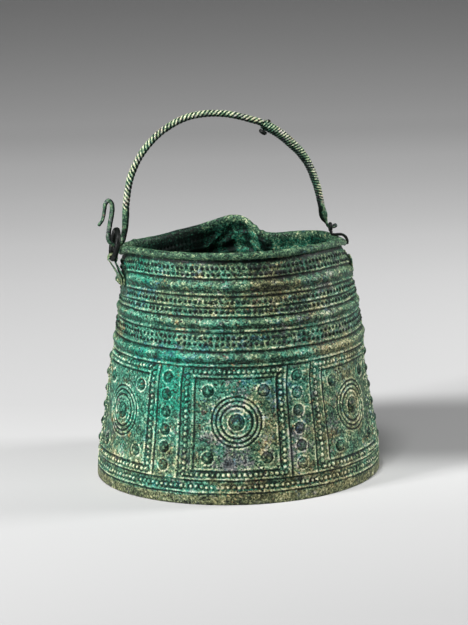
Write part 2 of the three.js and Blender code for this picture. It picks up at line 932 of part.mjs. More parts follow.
// The knobbed pin that locks the tenon in its socket
function lapPinPlace() {
  const along = lapDirection();
  const up = new THREE.Vector3(-along.z, 0, along.x);
  return { centre: alongLap(lapPin.at), up };
}

function lapPinGeometry() {
  const { centre, up } = lapPinPlace();
  const seat = mendRadii.lap + gap;
  const profile = [
    ...knobShape.map(([r, depth]) => [lapPin.knobRadius * r, -seat - lapPin.knobDepth * depth]),
    [lapPin.shank, -seat],
    [lapPin.shank, seat],
    [lapPin.headRadius, seat],
    [lapPin.headRadius * domeShoulder.radius, seat + lapPin.headDepth * domeShoulder.height],
    [0, seat + lapPin.headDepth],
  ].map(([r, z]) => new THREE.Vector2(r, z));
  const geometry = new THREE.LatheGeometry(profile, pinSides);
  geometry.applyQuaternion(new THREE.Quaternion().setFromUnitVectors(new THREE.Vector3(0, 1, 0), up));
  geometry.translate(centre.x, centre.y, centre.z);
  return geometry;
}

function pinHole() {
  const { centre, up } = lapPinPlace();
  const reach = 2 * mendRadii.lap;
  return bar(
    centre.clone().addScaledVector(up, -reach),
    centre.clone().addScaledVector(up, reach),
    lapPin.shank + gap,
  );
}

function socket() {
  return bar(alongLap(-mendRadii.lap), alongLap(tenon.length + lapSpacing), tenon.radius + gap);
}

const pinDrill = solidOf(pinHole());
addPiece("handle_rod", geometryOf(mainRodGeometry().subtract(pinDrill)), handleGreen);
addPiece(
  "handle_mend_rod",
  geometryOf(solidOf(mendRodGeometry()).subtract(solidOf(socket())).subtract(pinDrill)),
  handleGreen,
);
addPiece("handle_mend_pin", lapPinGeometry(), darkRing);

// Right link: an eye round the small hook, then a strand over the rim
function linkGeometry() {
  const eyeRadius = smallHook.rod + linkEyeClearance + linkWireRadius;
  const points = [];
  for (let a = linkEye.start; a <= linkEye.end; a += linkEye.step) {
    const y = eyeRadius * Math.sin(a * degrees);
    const z = smallHookPlace.z + eyeRadius * Math.cos(a * degrees);
    points.push(new THREE.Vector3(smallHookPlace.x, y, z));
  }
  for (const [x, y, z] of linkStrand) {
    points.push(new THREE.Vector3(rimRadius + x, y, rimHeight + z));
  }
  const curve = new THREE.CatmullRomCurve3(points, false, "centripetal");
  const frames = curve.computeFrenetFrames(linkSteps, false);
  return swept(linkSteps, (t) => {
    const i = Math.round(t * linkSteps);
    return {
      point: curve.getPointAt(t),
      u: frames.normals[i],
      v: frames.binormals[i],
      halfU: linkWireRadius,
      halfV: linkWireRadius,
    };
  }, linkSides);
}

addPiece("right_link", linkGeometry(), darkRing);

export default part;
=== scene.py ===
"""A bronze situla: the looks of a bucket of one riveted sheet with raised ornament, a rolled rim,
two riveted lugs, a ring and a twisted, mended bail. Lengths are millimetres until a mesh is made."""

import math

import bpy
import numpy as np
from mathutils import Matrix, Vector


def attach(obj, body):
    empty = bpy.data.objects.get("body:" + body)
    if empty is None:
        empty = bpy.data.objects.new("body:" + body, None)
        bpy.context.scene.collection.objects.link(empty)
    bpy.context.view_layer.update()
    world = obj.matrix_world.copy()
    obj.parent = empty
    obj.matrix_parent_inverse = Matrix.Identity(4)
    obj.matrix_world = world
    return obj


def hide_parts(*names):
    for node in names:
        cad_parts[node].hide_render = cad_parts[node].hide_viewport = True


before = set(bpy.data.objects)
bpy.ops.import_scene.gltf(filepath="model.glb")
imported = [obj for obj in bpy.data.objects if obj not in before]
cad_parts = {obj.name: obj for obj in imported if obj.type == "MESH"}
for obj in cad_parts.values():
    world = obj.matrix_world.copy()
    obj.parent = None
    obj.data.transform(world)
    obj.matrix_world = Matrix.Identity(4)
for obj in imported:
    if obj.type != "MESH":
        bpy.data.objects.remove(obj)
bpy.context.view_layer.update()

MM = 0.001

# The vessel's form, as in the solids

SHEET_THICKNESS = 0.9
TURNED_EDGE_WIDTH = 8
BASE_CORNER_RADIUS = 1.2
WALL_OUTER_RADII = [
    (0, 120.5), (13, 120), (33, 117), (68, 111.3), (108, 105.9),
    (137, 101.9), (160, 98.8), (190, 95.3), (197, 92.9),
]
RIBS = [(114.4, 122.5), (142.3, 150), (171.3, 180.6)]
RIB_HEIGHT = 2.2
RIM_RADIUS = 94.6
RIM_HEIGHT = 200.3
RIM_WIRE_RADIUS = 1.8
GAP = 0.3
LIP_INNER_RADIUS = RIM_WIRE_RADIUS + GAP
LIP_OUTER_RADIUS = LIP_INNER_RADIUS + SHEET_THICKNESS
LIP_START_ANGLE = 190
LIP_END_ANGLE = -75
HIDDEN_STEPS = 8
SHOWN_STEPS = 14
WALL_TOP = 197
FRONT_ANGLE = -102
DENT_FOOT = 130
DENT_TOP = 195
LEAN_BY_HEIGHT = [(0, 0), (50, 1.2), (95, 1.2), (112, 3), (160, 3), (186, 0.3), (200, -1.5)]
RIM_INWARD = [
    (-180, 3), (-173, 4), (-161, 6), (-148, 8), (-134, 8), (-110, 5), (-90, 2), (-78, 1.2), (-64, 0.3),
    (-45, 0), (0, 0), (50, 0), (72, 0), (90, 0.3), (102, 0.5), (121, 4), (140, 9), (153, 12), (162, 12),
    (167, 8), (173, 4), (180, 3),
]
RIM_DROP = [
    (-180, -0.5), (-173, 2), (-161, 6.5), (-148, 8.5), (-134, 10.4), (-110, 9.5), (-90, 7.5), (-78, 6.8),
    (-64, 1.5), (-45, 0), (0, 0), (50, 0), (72, 2), (90, 7.5), (102, 9), (121, 8), (140, 11), (153, 13),
    (162, 11.5), (167, 7), (173, 0.5), (180, -0.5),
]
LUG_ANGLES = (-78, 102)
FLAT_HALF_WIDTH = 8
FLAT_FADE = 7
COVERED_HEIGHTS = (160, 184)
COVERED_HALF_WIDTH = 8.5
COVERED_FADE = 1.5
SEAM_ANGLE = 154.5

# Grid of the wall. The outer face has twice as many columns as the inner one.

FINE_COLUMNS = 1260
INNER_COLUMNS = FINE_COLUMNS // 2
GRID_ANGLE = 360 / FINE_COLUMNS
ROW_STEP = 0.62
FINE_INNER_STEP = 1.0
FINE_INNER_FOOT = 160
INNER_TOP = 196.4
INNER_FOOT = 4
INNER_STEP = 2.4
MAP_MARGIN = 0.01
PLAIN_STEP = 2.2
PLAIN_TOP = 8.2
RIB_STEP = 1.0

# Ornament

BEAD_RADIUS = 1.7
BEAD_HEIGHT = 1.45
NECK_BEADS_AROUND = 140
BASE_BEADS_AROUND = 168
NECK_BEAD_ROWS = (190.6, 185.5, 163.3, 155.6, 134.4, 129.4)
BASE_BEAD_ROW = 14.8
BASE_HOLLOW = 0.8
BASE_HOLLOW_REACH = 7
LINES_WITH_GROOVE_BELOW = ((183.3, 181.8), (160.3, 158.7), (152.6, 151.1), (140.3, 138.4))
LINES_ALONE_OR_OVER = ((169.4, 167.6), (125.6, 123.8), (112.5, 110.9), (21.3, 19.9), (10.8, 9.4))
LINE_HALF_WIDTH = 1.1
LINE_HEIGHT = 0.95
GROOVE_HALF_WIDTH = 0.95
GROOVE_DEPTH = 0.75
GROOVE_AWAY = 1.8
COLUMN_RELIEF = (0.5, 0.35)
FRAME_RELIEF = (0.7, 0.4)
PANEL_FOOT = 24.6
PANEL_TOP = 107.5
PANEL_BEADS = 18
PANEL_BEAD_PITCH = (PANEL_TOP - PANEL_FOOT) / PANEL_BEADS
PANEL_ROWS_PER_BEAD = 7
PANEL_ROW_STEP = PANEL_BEAD_PITCH / PANEL_ROWS_PER_BEAD
FRAME_FOOT = PANEL_FOOT + PANEL_BEAD_PITCH
FRAME_TOP = PANEL_TOP - 0.8 * PANEL_BEAD_PITCH

# Angles in the ornament are counted in columns of this many degrees.
COLUMN_ANGLE = 360 / 840
COLUMN_BOSS_SIZE = 1
CORNER_BOSS_SIZE = 1.05
BOSS_COLUMNS = (-347, -211, -75, 61, 197, 333)
COLUMN_LINES = (-13, 14)
BEAD_COLUMNS = (-18, 22)
FRAME_COLUMNS = (-24, 29)
CIRCLE_COLUMN = 73
CORNER_COLUMNS = 28
COLUMN_BOSS_TOP = 101.5
COLUMN_BOSS_PITCH = 14.2
COLUMN_BOSSES = 6
CIRCLE_HEIGHT = 67.1
CIRCLE_RINGS = ((11.1, 1.15), (15, 1.0), (18.5, 0.85), (21.8, 0.4))
CIRCLE_RING_HALF_WIDTH = 1.35
CIRCLE_GROOVE_AWAY = 1.85
CIRCLE_GROOVE_SHARE = 0.4
SMALL_RING_HALF_WIDTH = 1.1
DOME_RADIUS = 5.9
DOME_HEIGHT = 3.2
DOME_RING = (7.4, 0.8)
BOSS_RADIUS = 3.9
BOSS_HEIGHT = 2.2
BOSS_RING = (5.5, 0.6)
CORNER_HEIGHTS = (91.8, 38)
UNDER_LIP = 195.4
UNDER_LIP_GROOVE = (1.6, -0.2)

# How much lighter or darker than the plain wall each kind of ornament is

# Crests of lines: wear and a painted highlight. Grooves: dark patina and painted shade.
LINE_TONE = 0.7
GROOVE_TONE = -1.0
# Beads: painted light and shade over the top and round the foot, and wear with a painted highlight on the
# very top
NECK_BEAD_TONES = (-0.95, 0.2, 0.3)
PANEL_BEAD_TONES = (0.4, -0.75, 0.6)
DOME_TONE = -0.45
# Wear and a painted highlight on the tops of domes and bosses
WORN_AND_HIGHLIT_TOP_TONE = 0.7
NECK_FOOT = 118
# How much less wear and painted highlight the crests have on the neck, and more so at the left
NECK_LESS_RUBBED_AND_HIGHLIT = 0.3
LEFT_LESS_RUBBED_AND_HIGHLIT = 0.4
LEFT_START = -38
LEFT_FADE = 16
# Painted light on the ribs: lighter upper halves, darker lower halves
RIB_PAINTED_LIGHT = 0.22
FOOT_BAND_TONE = 0.08
FOOT_BAND_TOP = 38


def smooth(t):
    c = np.clip(t, 0, 1)
    return c * c * (3 - 2 * c)


def through(points, x):
    """A smooth curve through points (x, y), flat past its ends."""
    xs, ys = np.array(points, float).T
    slopes = np.empty_like(xs)
    slopes[1:-1] = (ys[2:] - ys[:-2]) / (xs[2:] - xs[:-2])
    slopes[0] = (ys[1] - ys[0]) / (xs[1] - xs[0])
    slopes[-1] = (ys[-1] - ys[-2]) / (xs[-1] - xs[-2])
    x = np.clip(np.asarray(x, float), xs[0], xs[-1])
    i = np.clip(np.searchsorted(xs, x) - 1, 0, len(xs) - 2)
    h = xs[i + 1] - xs[i]
    t = (x - xs[i]) / h
    rise = ys[i + 1] - ys[i]
    bend = (slopes[i] * h - rise) * (1 - t) - (slopes[i + 1] * h - rise) * t
    return ys[i] + rise * t + t * (1 - t) * bend


def wrapped(angle):
    return (np.asarray(angle, float) + 180) % 360 - 180


def mound(distance, radius, power=2):
    """1 in the middle, falling to 0 at the radius."""
    return np.clip(1 - (distance / radius) ** power, 0, None)


def xyz(x, y, z):
    """Points from their three numbers, each a number or an array."""
    return np.stack(np.broadcast_arrays(x, y, z), axis=-1)


def round_points(radius, theta, z=0):
    """Points on circles round the upright axis."""
    return xyz(radius * np.cos(theta), radius * np.sin(theta), z)


def rib_bulge(z):
    z = np.asarray(z, float)
    bulge = np.zeros_like(z)
    for bottom, top in RIBS:
        inside = (z > bottom) & (z < top)
        bulge = np.where(inside, RIB_HEIGHT * np.sin(np.pi * (z - bottom) / (top - bottom)), bulge)
    return bulge


def near_lug(from_front, half_width, fade):
    """1 where a lug covers the wall, 0 elsewhere."""
    away = np.minimum(*(np.abs(wrapped(from_front - a)) for a in LUG_ANGLES))
    return 1 - smooth((away - half_width) / fade)


def settled(radius, from_front, height):
    """Where a point of the round vessel has gone since the sheet sank and leaned."""
    radius, from_front, height = np.broadcast_arrays(radius, from_front, height)
    share = smooth((height - DENT_FOOT) / (DENT_TOP - DENT_FOOT))
    at = wrapped(from_front)
    on_top_rib = height >= RIBS[-1][0]
    flat = np.where(on_top_rib, rib_bulge(height) * near_lug(at, FLAT_HALF_WIDTH, FLAT_FADE), 0)
    r = radius - flat - through(RIM_INWARD, at) * share
    z = height - through(RIM_DROP, at) * share
    lean = through(LEAN_BY_HEIGHT, height)
    theta = np.radians(FRONT_ANGLE + from_front)
    front = math.radians(FRONT_ANGLE)
    x = r * np.cos(theta) - lean * math.sin(front)
    y = r * np.sin(theta) + lean * math.cos(front)
    return xyz(x, y, z)


def wall_radius(z):
    return through(WALL_OUTER_RADII, z) + rib_bulge(z)


# Random fields, always the same


def value_noise(points, cell, seed):
    """Smooth values from -1 to 1 at points of three numbers."""
    p = np.asarray(points, float) / cell
    i = np.floor(p).astype(np.int64)
    f = p - i
    f = f * f * (3 - 2 * f)
    total = np.zeros(p.shape[:-1])
    for corner in range(8):
        d = np.array([corner & 1, corner >> 1 & 1, corner >> 2 & 1])
        key = (i + d) * np.array([73856093, 19349663, 83492791])
        n = (key[..., 0] ^ key[..., 1] ^ key[..., 2] ^ seed * 2654435761) & 0xFFFFFFFF
        n = ((n ^ n >> 13) * 1274126177) & 0xFFFFFFFF
        n = (n ^ n >> 16) & 0xFFFF
        weight = np.prod(np.where(d == 1, f, 1 - f), axis=-1)
        total += weight * (n / 32767.5 - 1)
    return total


def rough_noise(points, cell, seed, octaves=3):
    total = np.zeros(np.asarray(points).shape[:-1])
    size = 1.0
    for k in range(octaves):
        total += size * value_noise(points, cell / 2**k, seed + k)
        size *= 0.5
    return total


# Raised ornament of the wall


class Ornament:
    """How far the ornament stands out of the plain wall, and how light or dark it is."""

    def __init__(self, from_front, z):
        self.at = from_front
        self.z = z
        self.arc = np.radians(1) * through(WALL_OUTER_RADII, z)
        self.height = np.zeros_like(z)
        self.tone = np.zeros_like(z)
        # Wear and painted highlight on the crests, uneven, and less on the neck
        self.rubbed_and_highlit = 0.75 + 0.45 * rough_noise(xyz(from_front * self.arc, z, 0), 11, 291)
        at_left = smooth((LEFT_START - from_front) / LEFT_FADE)
        on_neck = smooth((z - NECK_FOOT) / 6)
        self.rubbed_and_highlit *= 1 - on_neck * (NECK_LESS_RUBBED_AND_HIGHLIT + LEFT_LESS_RUBBED_AND_HIGHLIT * at_left)

    def off(self, angle):
        """How far round the wall each point is from an angle, in millimetres."""
        return wrapped(self.at - angle) * self.arc

    def ridge(self, distance, half_width, height, where=True):
        """A rounded ridge, or a groove if the height is less than nothing."""
        inside = (np.abs(distance) < half_width) & where
        shape = np.where(inside, np.cos(np.pi * distance / (2 * half_width)) ** 2, 0)
        self.height += height * shape
        # Crests lighter with wear and a painted highlight; grooves darker with dark patina and painted shade
        self.tone += (LINE_TONE * self.rubbed_and_highlit if height > 0 else GROOVE_TONE) * shape**0.7

    def lined(self, distance, line, where):
        """A thin ridge with a groove beside it."""
        height, depth = line
        self.ridge(distance, LINE_HALF_WIDTH, height, where)
        self.ridge(distance - GROOVE_AWAY, GROOVE_HALF_WIDTH, -depth, where)

    def beads(self, du, dv, radius, height, tones, where=True):
        distance = np.hypot(du, dv)
        shape = height * mound(distance, radius)
        self.height = np.where(where, np.maximum(self.height, shape), self.height)
        # Painted light and shade on each bead: tones[0] over its top, tones[1] round its foot, tones[2] wear
        # and a painted highlight on the very top
        top = mound(distance, radius, 4)
        foot = np.clip(1 - np.abs(distance / radius - 1.3) / 0.4, 0, None)
        worn = mound(distance, 0.55 * radius)
        self.tone += np.where(where, tones[0] * top + tones[1] * foot + tones[2] * worn, 0)

    def bead_row(self, row_height, around, seed, tones, where=True):
        """A row of punched beads, none quite alike, in step with the grid's columns."""
        random = np.random.default_rng(seed)
        pitch = 360 / around
        k = np.round(self.at / pitch).astype(int)
        slot = k % around
        shift = random.uniform(-0.07, 0.07, around) * pitch
        rise = random.uniform(-0.3, 0.3, around)
        size = random.uniform(0.9, 1.08, around)
        height = random.uniform(0.7, 1.1, around)
        du = (self.at - k * pitch - shift[slot]) * self.arc
        dv = self.z - row_height - rise[slot]
        self.beads(du, dv, BEAD_RADIUS * size[slot], BEAD_HEIGHT * height[slot], tones, where)

    def bead_column(self, angle, seed, where):
        random = np.random.default_rng(seed)
        count = PANEL_BEADS + 1
        k = np.clip(np.round((self.z - PANEL_FOOT) / PANEL_BEAD_PITCH).astype(int), 0, count - 1)
        shift = random.uniform(-0.3, 0.3, count)
        height = random.uniform(0.65, 1.1, count)
        du = self.off(angle) - shift[k]
        dv = self.z - PANEL_FOOT - k * PANEL_BEAD_PITCH
        self.beads(du, dv, BEAD_RADIUS, BEAD_HEIGHT * height[k], PANEL_BEAD_TONES, where)

    def dome(self, distance, radius, height):
        shape = mound(distance, radius)
        self.height += height * shape**0.75
        # Wear and a painted highlight on the very top, and painted shade round the foot
        worn = mound(distance, 0.45 * radius)
        self.tone += DOME_TONE * np.sqrt(shape) + WORN_AND_HIGHLIT_TOP_TONE * worn
        foot = np.clip(1 - np.abs(distance - radius - 0.2) / 0.7, 0, None)
        self.tone += 0.8 * GROOVE_TONE * foot

    def boss(self, angle, level, size):
        distance = np.hypot(self.off(angle), self.z - level)
        self.dome(distance, BOSS_RADIUS * size, BOSS_HEIGHT * size)
        radius, height = BOSS_RING
        self.ridge(distance - radius * size, SMALL_RING_HALF_WIDTH, height)

    def circles(self, angle):
        distance = np.hypot(self.off(angle), self.z - CIRCLE_HEIGHT)
        self.dome(distance, DOME_RADIUS, DOME_HEIGHT)
        self.ridge(distance - DOME_RING[0], SMALL_RING_HALF_WIDTH, DOME_RING[1])
        notch = 0.8 + 0.2 * value_noise(xyz(self.at * 2, self.z, 0), 2.5, 5)
        for radius, height in CIRCLE_RINGS:
            self.ridge(distance - radius, CIRCLE_RING_HALF_WIDTH, height)
        for radius, height in CIRCLE_RINGS[:-1]:
            beside = distance - radius - CIRCLE_GROOVE_AWAY
            self.ridge(beside, GROOVE_HALF_WIDTH, -CIRCLE_GROOVE_SHARE * height)
        on_rings = between(distance, DOME_RADIUS, CIRCLE_RINGS[-1][0] + 2)
        self.height = np.where(on_rings, self.height * notch, self.height)

    def panels(self):
        field = between(self.z, PANEL_FOOT - 2, PANEL_TOP + 2)
        for number, column in enumerate(BOSS_COLUMNS):
            middle = column * COLUMN_ANGLE
            following = BOSS_COLUMNS[(number + 1) % len(BOSS_COLUMNS)] * COLUMN_ANGLE
            panel_width = (following - middle) % 360
            along = (self.at - middle) % 360
            full = between(self.z, LINES_ALONE_OR_OVER[3][0], LINES_ALONE_OR_OVER[2][1])
            for side in COLUMN_LINES:
                self.lined(self.off(middle + side * COLUMN_ANGLE), COLUMN_RELIEF, full)
            for side in BEAD_COLUMNS:
                self.bead_column(middle + side * COLUMN_ANGLE, 40 + 2 * number, field)
            first = FRAME_COLUMNS[1] * COLUMN_ANGLE
            last = panel_width + FRAME_COLUMNS[0] * COLUMN_ANGLE
            tall = between(self.z, FRAME_FOOT - 0.5, FRAME_TOP + 0.5)
            for side in (first, last):
                self.lined(self.off(middle + side), FRAME_RELIEF, tall)
            across = between(along, first - COLUMN_ANGLE, last + COLUMN_ANGLE)
            for level in (FRAME_FOOT, FRAME_TOP):
                self.lined(level - self.z, FRAME_RELIEF, across)
            start = BEAD_COLUMNS[1] * COLUMN_ANGLE
            end = panel_width + BEAD_COLUMNS[0] * COLUMN_ANGLE
            across = between(along, start - COLUMN_ANGLE, end + COLUMN_ANGLE)
            for level in (PANEL_FOOT, PANEL_TOP):
                self.bead_row(level, BASE_BEADS_AROUND, 60 + int(level), PANEL_BEAD_TONES, across)
            for k in range(COLUMN_BOSSES):
                self.boss(middle, COLUMN_BOSS_TOP - k * COLUMN_BOSS_PITCH, COLUMN_BOSS_SIZE)
            centre = middle + CIRCLE_COLUMN * COLUMN_ANGLE
            self.circles(centre)
            for side in (-1, 1):
                for level in CORNER_HEIGHTS:
                    corner = centre + side * CORNER_COLUMNS * COLUMN_ANGLE
                    self.boss(corner, level, CORNER_BOSS_SIZE)

    def bands(self):
        for number, row in enumerate(NECK_BEAD_ROWS):
            self.bead_row(row, NECK_BEADS_AROUND, 20 + number, NECK_BEAD_TONES)
        self.bead_row(BASE_BEAD_ROW, BASE_BEADS_AROUND, 30, PANEL_BEAD_TONES)
        waver = 0.25 * value_noise(xyz(self.at, self.z, 0), 9, 3)
        for line, groove in LINES_WITH_GROOVE_BELOW + LINES_ALONE_OR_OVER:
            self.ridge(self.z - line - waver, LINE_HALF_WIDTH, LINE_HEIGHT)
            self.ridge(self.z - groove - waver, GROOVE_HALF_WIDTH, -GROOVE_DEPTH)
        self.ridge(self.z - UNDER_LIP, *UNDER_LIP_GROOVE)
        # Painted shade along the ribs' edges, and on each rib a painted highlight on its upper half and
        # painted shade on its lower half
        for bottom, top in RIBS:
            for edge in (bottom, top):
                self.tone -= 0.35 * np.clip(1 - np.abs(self.z - edge) / 1.5, 0, None)
            up = np.clip((self.z - bottom) / (top - bottom), 0, 1)
            self.tone -= RIB_PAINTED_LIGHT * np.sin(2 * np.pi * up)
        self.tone += FOOT_BAND_TONE * smooth((FOOT_BAND_TOP - self.z) / 4)

    def covered_by_lugs(self):
        over = between(self.z, *COVERED_HEIGHTS)
        covered = np.where(over, near_lug(self.at, COVERED_HALF_WIDTH, COVERED_FADE), 0)
        self.height = self.height * (1 - covered) - 0.15 * covered
        self.tone = self.tone * (1 - covered) - 0.3 * covered


def relief(from_front, z):
    """How far the ornament stands out at each point, and its tone."""
    ornament = Ornament(from_front, z)
    ornament.bands()
    ornament.panels()
    ornament.covered_by_lugs()
    tone = np.clip(ornament.tone, -1, 1)
    # Patches of patina tone and of painted light and shade
    for *place, amount in PAINTED_LIGHT_PATCHES:
        tone += amount * blob(from_front, z, *place)
    return ornament.height, tone


def between(value, low, high):
    return (value >= low) & (value <= high)


def blob(from_front, z, angle, level, half_angle, half_height):
    """1 at one place of the wall, fading to 0 round it."""
    da = wrapped(from_front - angle) / half_angle
    dz = (z - level) / half_height
    return np.exp(-(da**2) - dz**2)


def plain_points(from_front, z):
    """Points of the plain round wall, for the noise."""
    return round_points(through(WALL_OUTER_RADII, z), np.radians(from_front), z)


# Wear, in millimetres: how deep, and how far apart
DENTS = (0.45, 30)
HAMMER_MARKS = (0.12, 7)
COARSE_CRUST = (0.09, 2.2)
FINE_CRUST = (0.06, 1.1)
SEAM_STEP = 0.5
SEAM_START = -9
SEAM_RISE = 8
SEAM_END = 5.5


def wear(from_front, z):
    """Hammer marks, small dents, corrosion and the step of the seam, in millimetres."""
    points = plain_points(from_front, z)
    dents = DENTS[0] * rough_noise(points, DENTS[1], 11, 2)
    marks = ((HAMMER_MARKS, 13), (COARSE_CRUST, 17), (FINE_CRUST, 19))
    small = sum(depth * value_noise(points, cell, seed) for (depth, cell), seed in marks)
    seam_edge = wrapped(from_front - SEAM_ANGLE) * np.radians(1) * through(WALL_OUTER_RADII, z)
    step = SEAM_STEP * smooth((seam_edge - SEAM_START) / SEAM_RISE)
    overlap = np.where(between(seam_edge, SEAM_START, SEAM_END), step, 0)
    calm = 1 - 0.7 * near_lug(from_front, 9, 2)
    return (dents * np.clip(z / 12, 0, 1) + small) * calm + overlap


# Patches of patina: angle from the front, height, half width in degrees, half height, strength

PATCHES = {
    "turquoise": (
        (-50, 105, 24, 26, 1.0), (-34, 85, 13, 45, 1.0), (-60, 82, 13, 30, 0.9), (-15, 88, 7, 22, 0.9),
        (-60, 150, 18, 34, 0.9), (-38, 186, 28, 10, 0.8), (-8, 112, 22, 7, 0.7), (-12, 45, 5, 14, 0.6),
        (-24, 12, 9, 7, 0.9), (-45, 14, 8, 8, 0.6), (-12, 135, 14, 20, 0.6), (36, 100, 6, 10, 0.5),
        (-6, 92, 12, 7, 0.6), (4, 96, 9, 8, 0.9), (27, 96, 7, 8, 0.8), (27, 122, 10, 12, 0.7),
        (36, 132, 8, 12, 0.8), (32, 104, 10, 8, 0.6),
    ),
    "jade": (
        (-34, 88, 8, 40, 1.0), (-30, 100, 15, 20, 0.9), (-46, 104, 7, 14, 0.8), (-48, 178, 9, 16, 0.7),
        (-40, 122, 14, 10, 0.6), (-22, 118, 9, 8, 0.6), (-60, 186, 12, 10, 0.6), (-50, 60, 5, 12, 0.6),
        (-24, 14, 6, 5, 0.7),
    ),
    "blue": (
        (-64, 165, 9, 7, 0.9), (-37, 122, 10, 7, 0.8), (3, 129, 9, 6, 0.8), (6, 97, 7, 6, 0.7),
        (-44, 173, 10, 4, 0.6), (19, 92, 5, 14, 0.8), (-8, 75, 4, 10, 0.6), (-20, 120, 8, 6, 0.6),
        (10, 150, 8, 5, 0.5),
    ),
    "mauve": (
        (-2, 41, 9, 9, 0.9), (-7, 55, 5, 12, 0.7), (3, 86, 9, 7, 0.8), (-2, 31, 10, 6, 0.8),
        (25, 60, 5, 26, 0.7), (-36, 125, 5, 5, 0.6), (34, 80, 5, 12, 0.6), (8, 66, 4, 6, 0.5),
        (-66, 45, 5, 6, 0.6), (20, 140, 9, 12, 0.5), (42, 62, 6, 14, 0.6),
    ),
    "olive": (
        (13, 58, 6, 20, 0.9), (38, 52, 9, 24, 0.7), (34, 15, 22, 13, 0.8), (34, 165, 18, 24, 0.7),
        (46, 118, 14, 16, 0.7), (-4, 160, 14, 12, 0.6), (-72, 128, 7, 9, 0.9), (-64, 33, 6, 9, 0.7),
        (0, 14, 14, 6, 0.8), (60, 80, 8, 40, 0.6), (-22, 182, 8, 5, 0.6), (14, 178, 12, 12, 0.6),
    ),
    "tan": (
        (-26, 157, 4, 1.2, 0.9), (-32, 171, 5, 1.5, 0.7), (8, 74, 4, 4, 0.7), (24, 127, 7, 1.5, 0.6),
        (-68, 136, 5, 8, 0.7), (11, 45, 3, 4, 0.7), (13, 20, 5, 2.5, 0.7), (-20, 146, 6, 1.3, 0.6),
        (-45, 24, 3, 3, 0.6), (-10, 25, 3, 4, 0.5), (-67, 56, 3, 5, 0.7), (40, 40, 4, 4, 0.6),
    ),
    # dark: pitted patina, and painted shade under the rim at the right (30, 187)
    "dark": (
        (-72, 19, 8, 9, 1.0), (-70, 4, 10, 5, 0.9), (-61, 66, 4, 9, 0.8), (-64, 42, 5, 6, 0.8),
        (-20, 42, 3, 6, 0.6), (-8, 72, 4, 3, 0.5), (14, 78, 4, 6, 0.6), (30, 24, 10, 4, 0.5),
        (-62, 126, 8, 3, 0.7), (-12, 172, 9, 2, 0.6), (18, 66, 3, 20, 0.5), (30, 187, 18, 8, 0.9),
        (-12, 117, 9, 4, 0.4), (5, 172, 18, 4, 0.5),
    ),
}


# Where the wall is a little lighter or darker, partly tone of the patina, partly painted light and shade
# such as the painted shade under the rim at the right: angle, height, half angle, half height, amount
PAINTED_LIGHT_PATCHES = (
    (38, 105, 13, 32, 0.2), (56, 112, 10, 18, 0.15), (8, 82, 8, 18, 0.17), (14, 55, 14, 16, 0.1),
    (-28, 34, 26, 12, 0.12), (-60, 30, 12, 10, 0.12), (28, 33, 14, 12, 0.1), (-20, 166, 12, 10, 0.15),
    (-10, 150, 10, 8, 0.12), (-16, 187, 12, 8, 0.1), (58, 142, 12, 12, 0.1), (24, 186, 18, 10, -0.22),
    (2, 168, 9, 8, -0.1), (-8, 110, 8, 10, -0.16), (-7, 44, 7, 16, -0.18), (-8, 91, 7, 10, -0.1),
    (26, 66, 4, 44, 0.08),
)

# How much of each patina there is where no patch is set, how far apart its clouds are, and their seed

PATINA_NOISE = {
    "turquoise": (0.28, 34, 201), "jade": (-0.05, 22, 205), "blue": (0.1, 26, 211), "mauve": (0.16, 24, 221),
    "olive": (0.24, 30, 231), "tan": (-0.02, 18, 241), "dark": (0.02, 16, 251),
}
PATINA_INSIDE = {"jade": 0.55, "olive": 0.3, "dark": 0.3}
PATINA_ON_LIP = 0.12
# How far the patches' edges wander, in degrees and in height
PATCH_WANDER = (6, 9)
PATCH_WANDER_CELL = 14


def patina(from_front, z):
    """How much of each patina there is at each point, from 0 to about 1."""
    points = plain_points(from_front, z)
    at = from_front + PATCH_WANDER[0] * rough_noise(points, PATCH_WANDER_CELL, 261)
    level = z + PATCH_WANDER[1] * rough_noise(points, PATCH_WANDER_CELL, 271)
    amounts = {}
    for kind, patches in PATCHES.items():
        lift, cell, seed = PATINA_NOISE[kind]
        amount = lift + 0.2 * rough_noise(points, cell, seed) + 0.4 * rough_noise(points, 7, seed + 3)
        for *place, strength in patches:
            amount += 0.8 * strength * blob(at, level, *place)
        amounts[kind] = amount
    return amounts


def outer_rows():
    """Heights of the grid's rows up the outer face, close together where the ornament is fine."""
    marks = [BASE_CORNER_RADIUS, PLAIN_TOP, BASE_BEAD_ROW, *NECK_BEAD_ROWS, WALL_TOP, PANEL_FOOT, PANEL_TOP]
    for pair in (*LINES_WITH_GROOVE_BELOW, *LINES_ALONE_OR_OVER, *RIBS):
        marks += pair
    marks = sorted(set(marks))
    rows = [marks[0]]
    for low, high in zip(marks, marks[1:]):
        step = ROW_STEP
        if high <= PLAIN_TOP:
            step = PLAIN_STEP
        if any(low >= bottom and high <= top for bottom, top in RIBS):
            step = RIB_STEP
        if low >= PANEL_FOOT and high <= PANEL_TOP:
            step = PANEL_ROW_STEP
        count = max(1, round((high - low) / step))
        rows += [low + (high - low) * (i + 1) / count for i in range(count)]
    return rows


def arc_points(centre, radius, start, end, steps):
    angles = np.radians(np.linspace(start, end, steps + 1))
    return [(centre[0] + radius * math.cos(a), centre[1] + radius * math.sin(a)) for a in angles]


def placed(name, data):
    """An object in the scene."""
    obj = bpy.data.objects.new(name, data)
    bpy.context.scene.collection.objects.link(obj)
    return obj


def coat(obj, material):
    obj.data.materials.clear()
    obj.data.materials.append(material)


def make_object(name, vertices, faces):
    """A smooth object in the scene, from points in millimetres."""
    mesh = bpy.data.meshes.new(name)
    mesh.from_pydata((np.asarray(vertices) * MM).tolist(), [], faces)
    mesh.update()
    mesh.polygons.foreach_set("use_smooth", [True] * len(mesh.polygons))
    return placed(name, mesh)


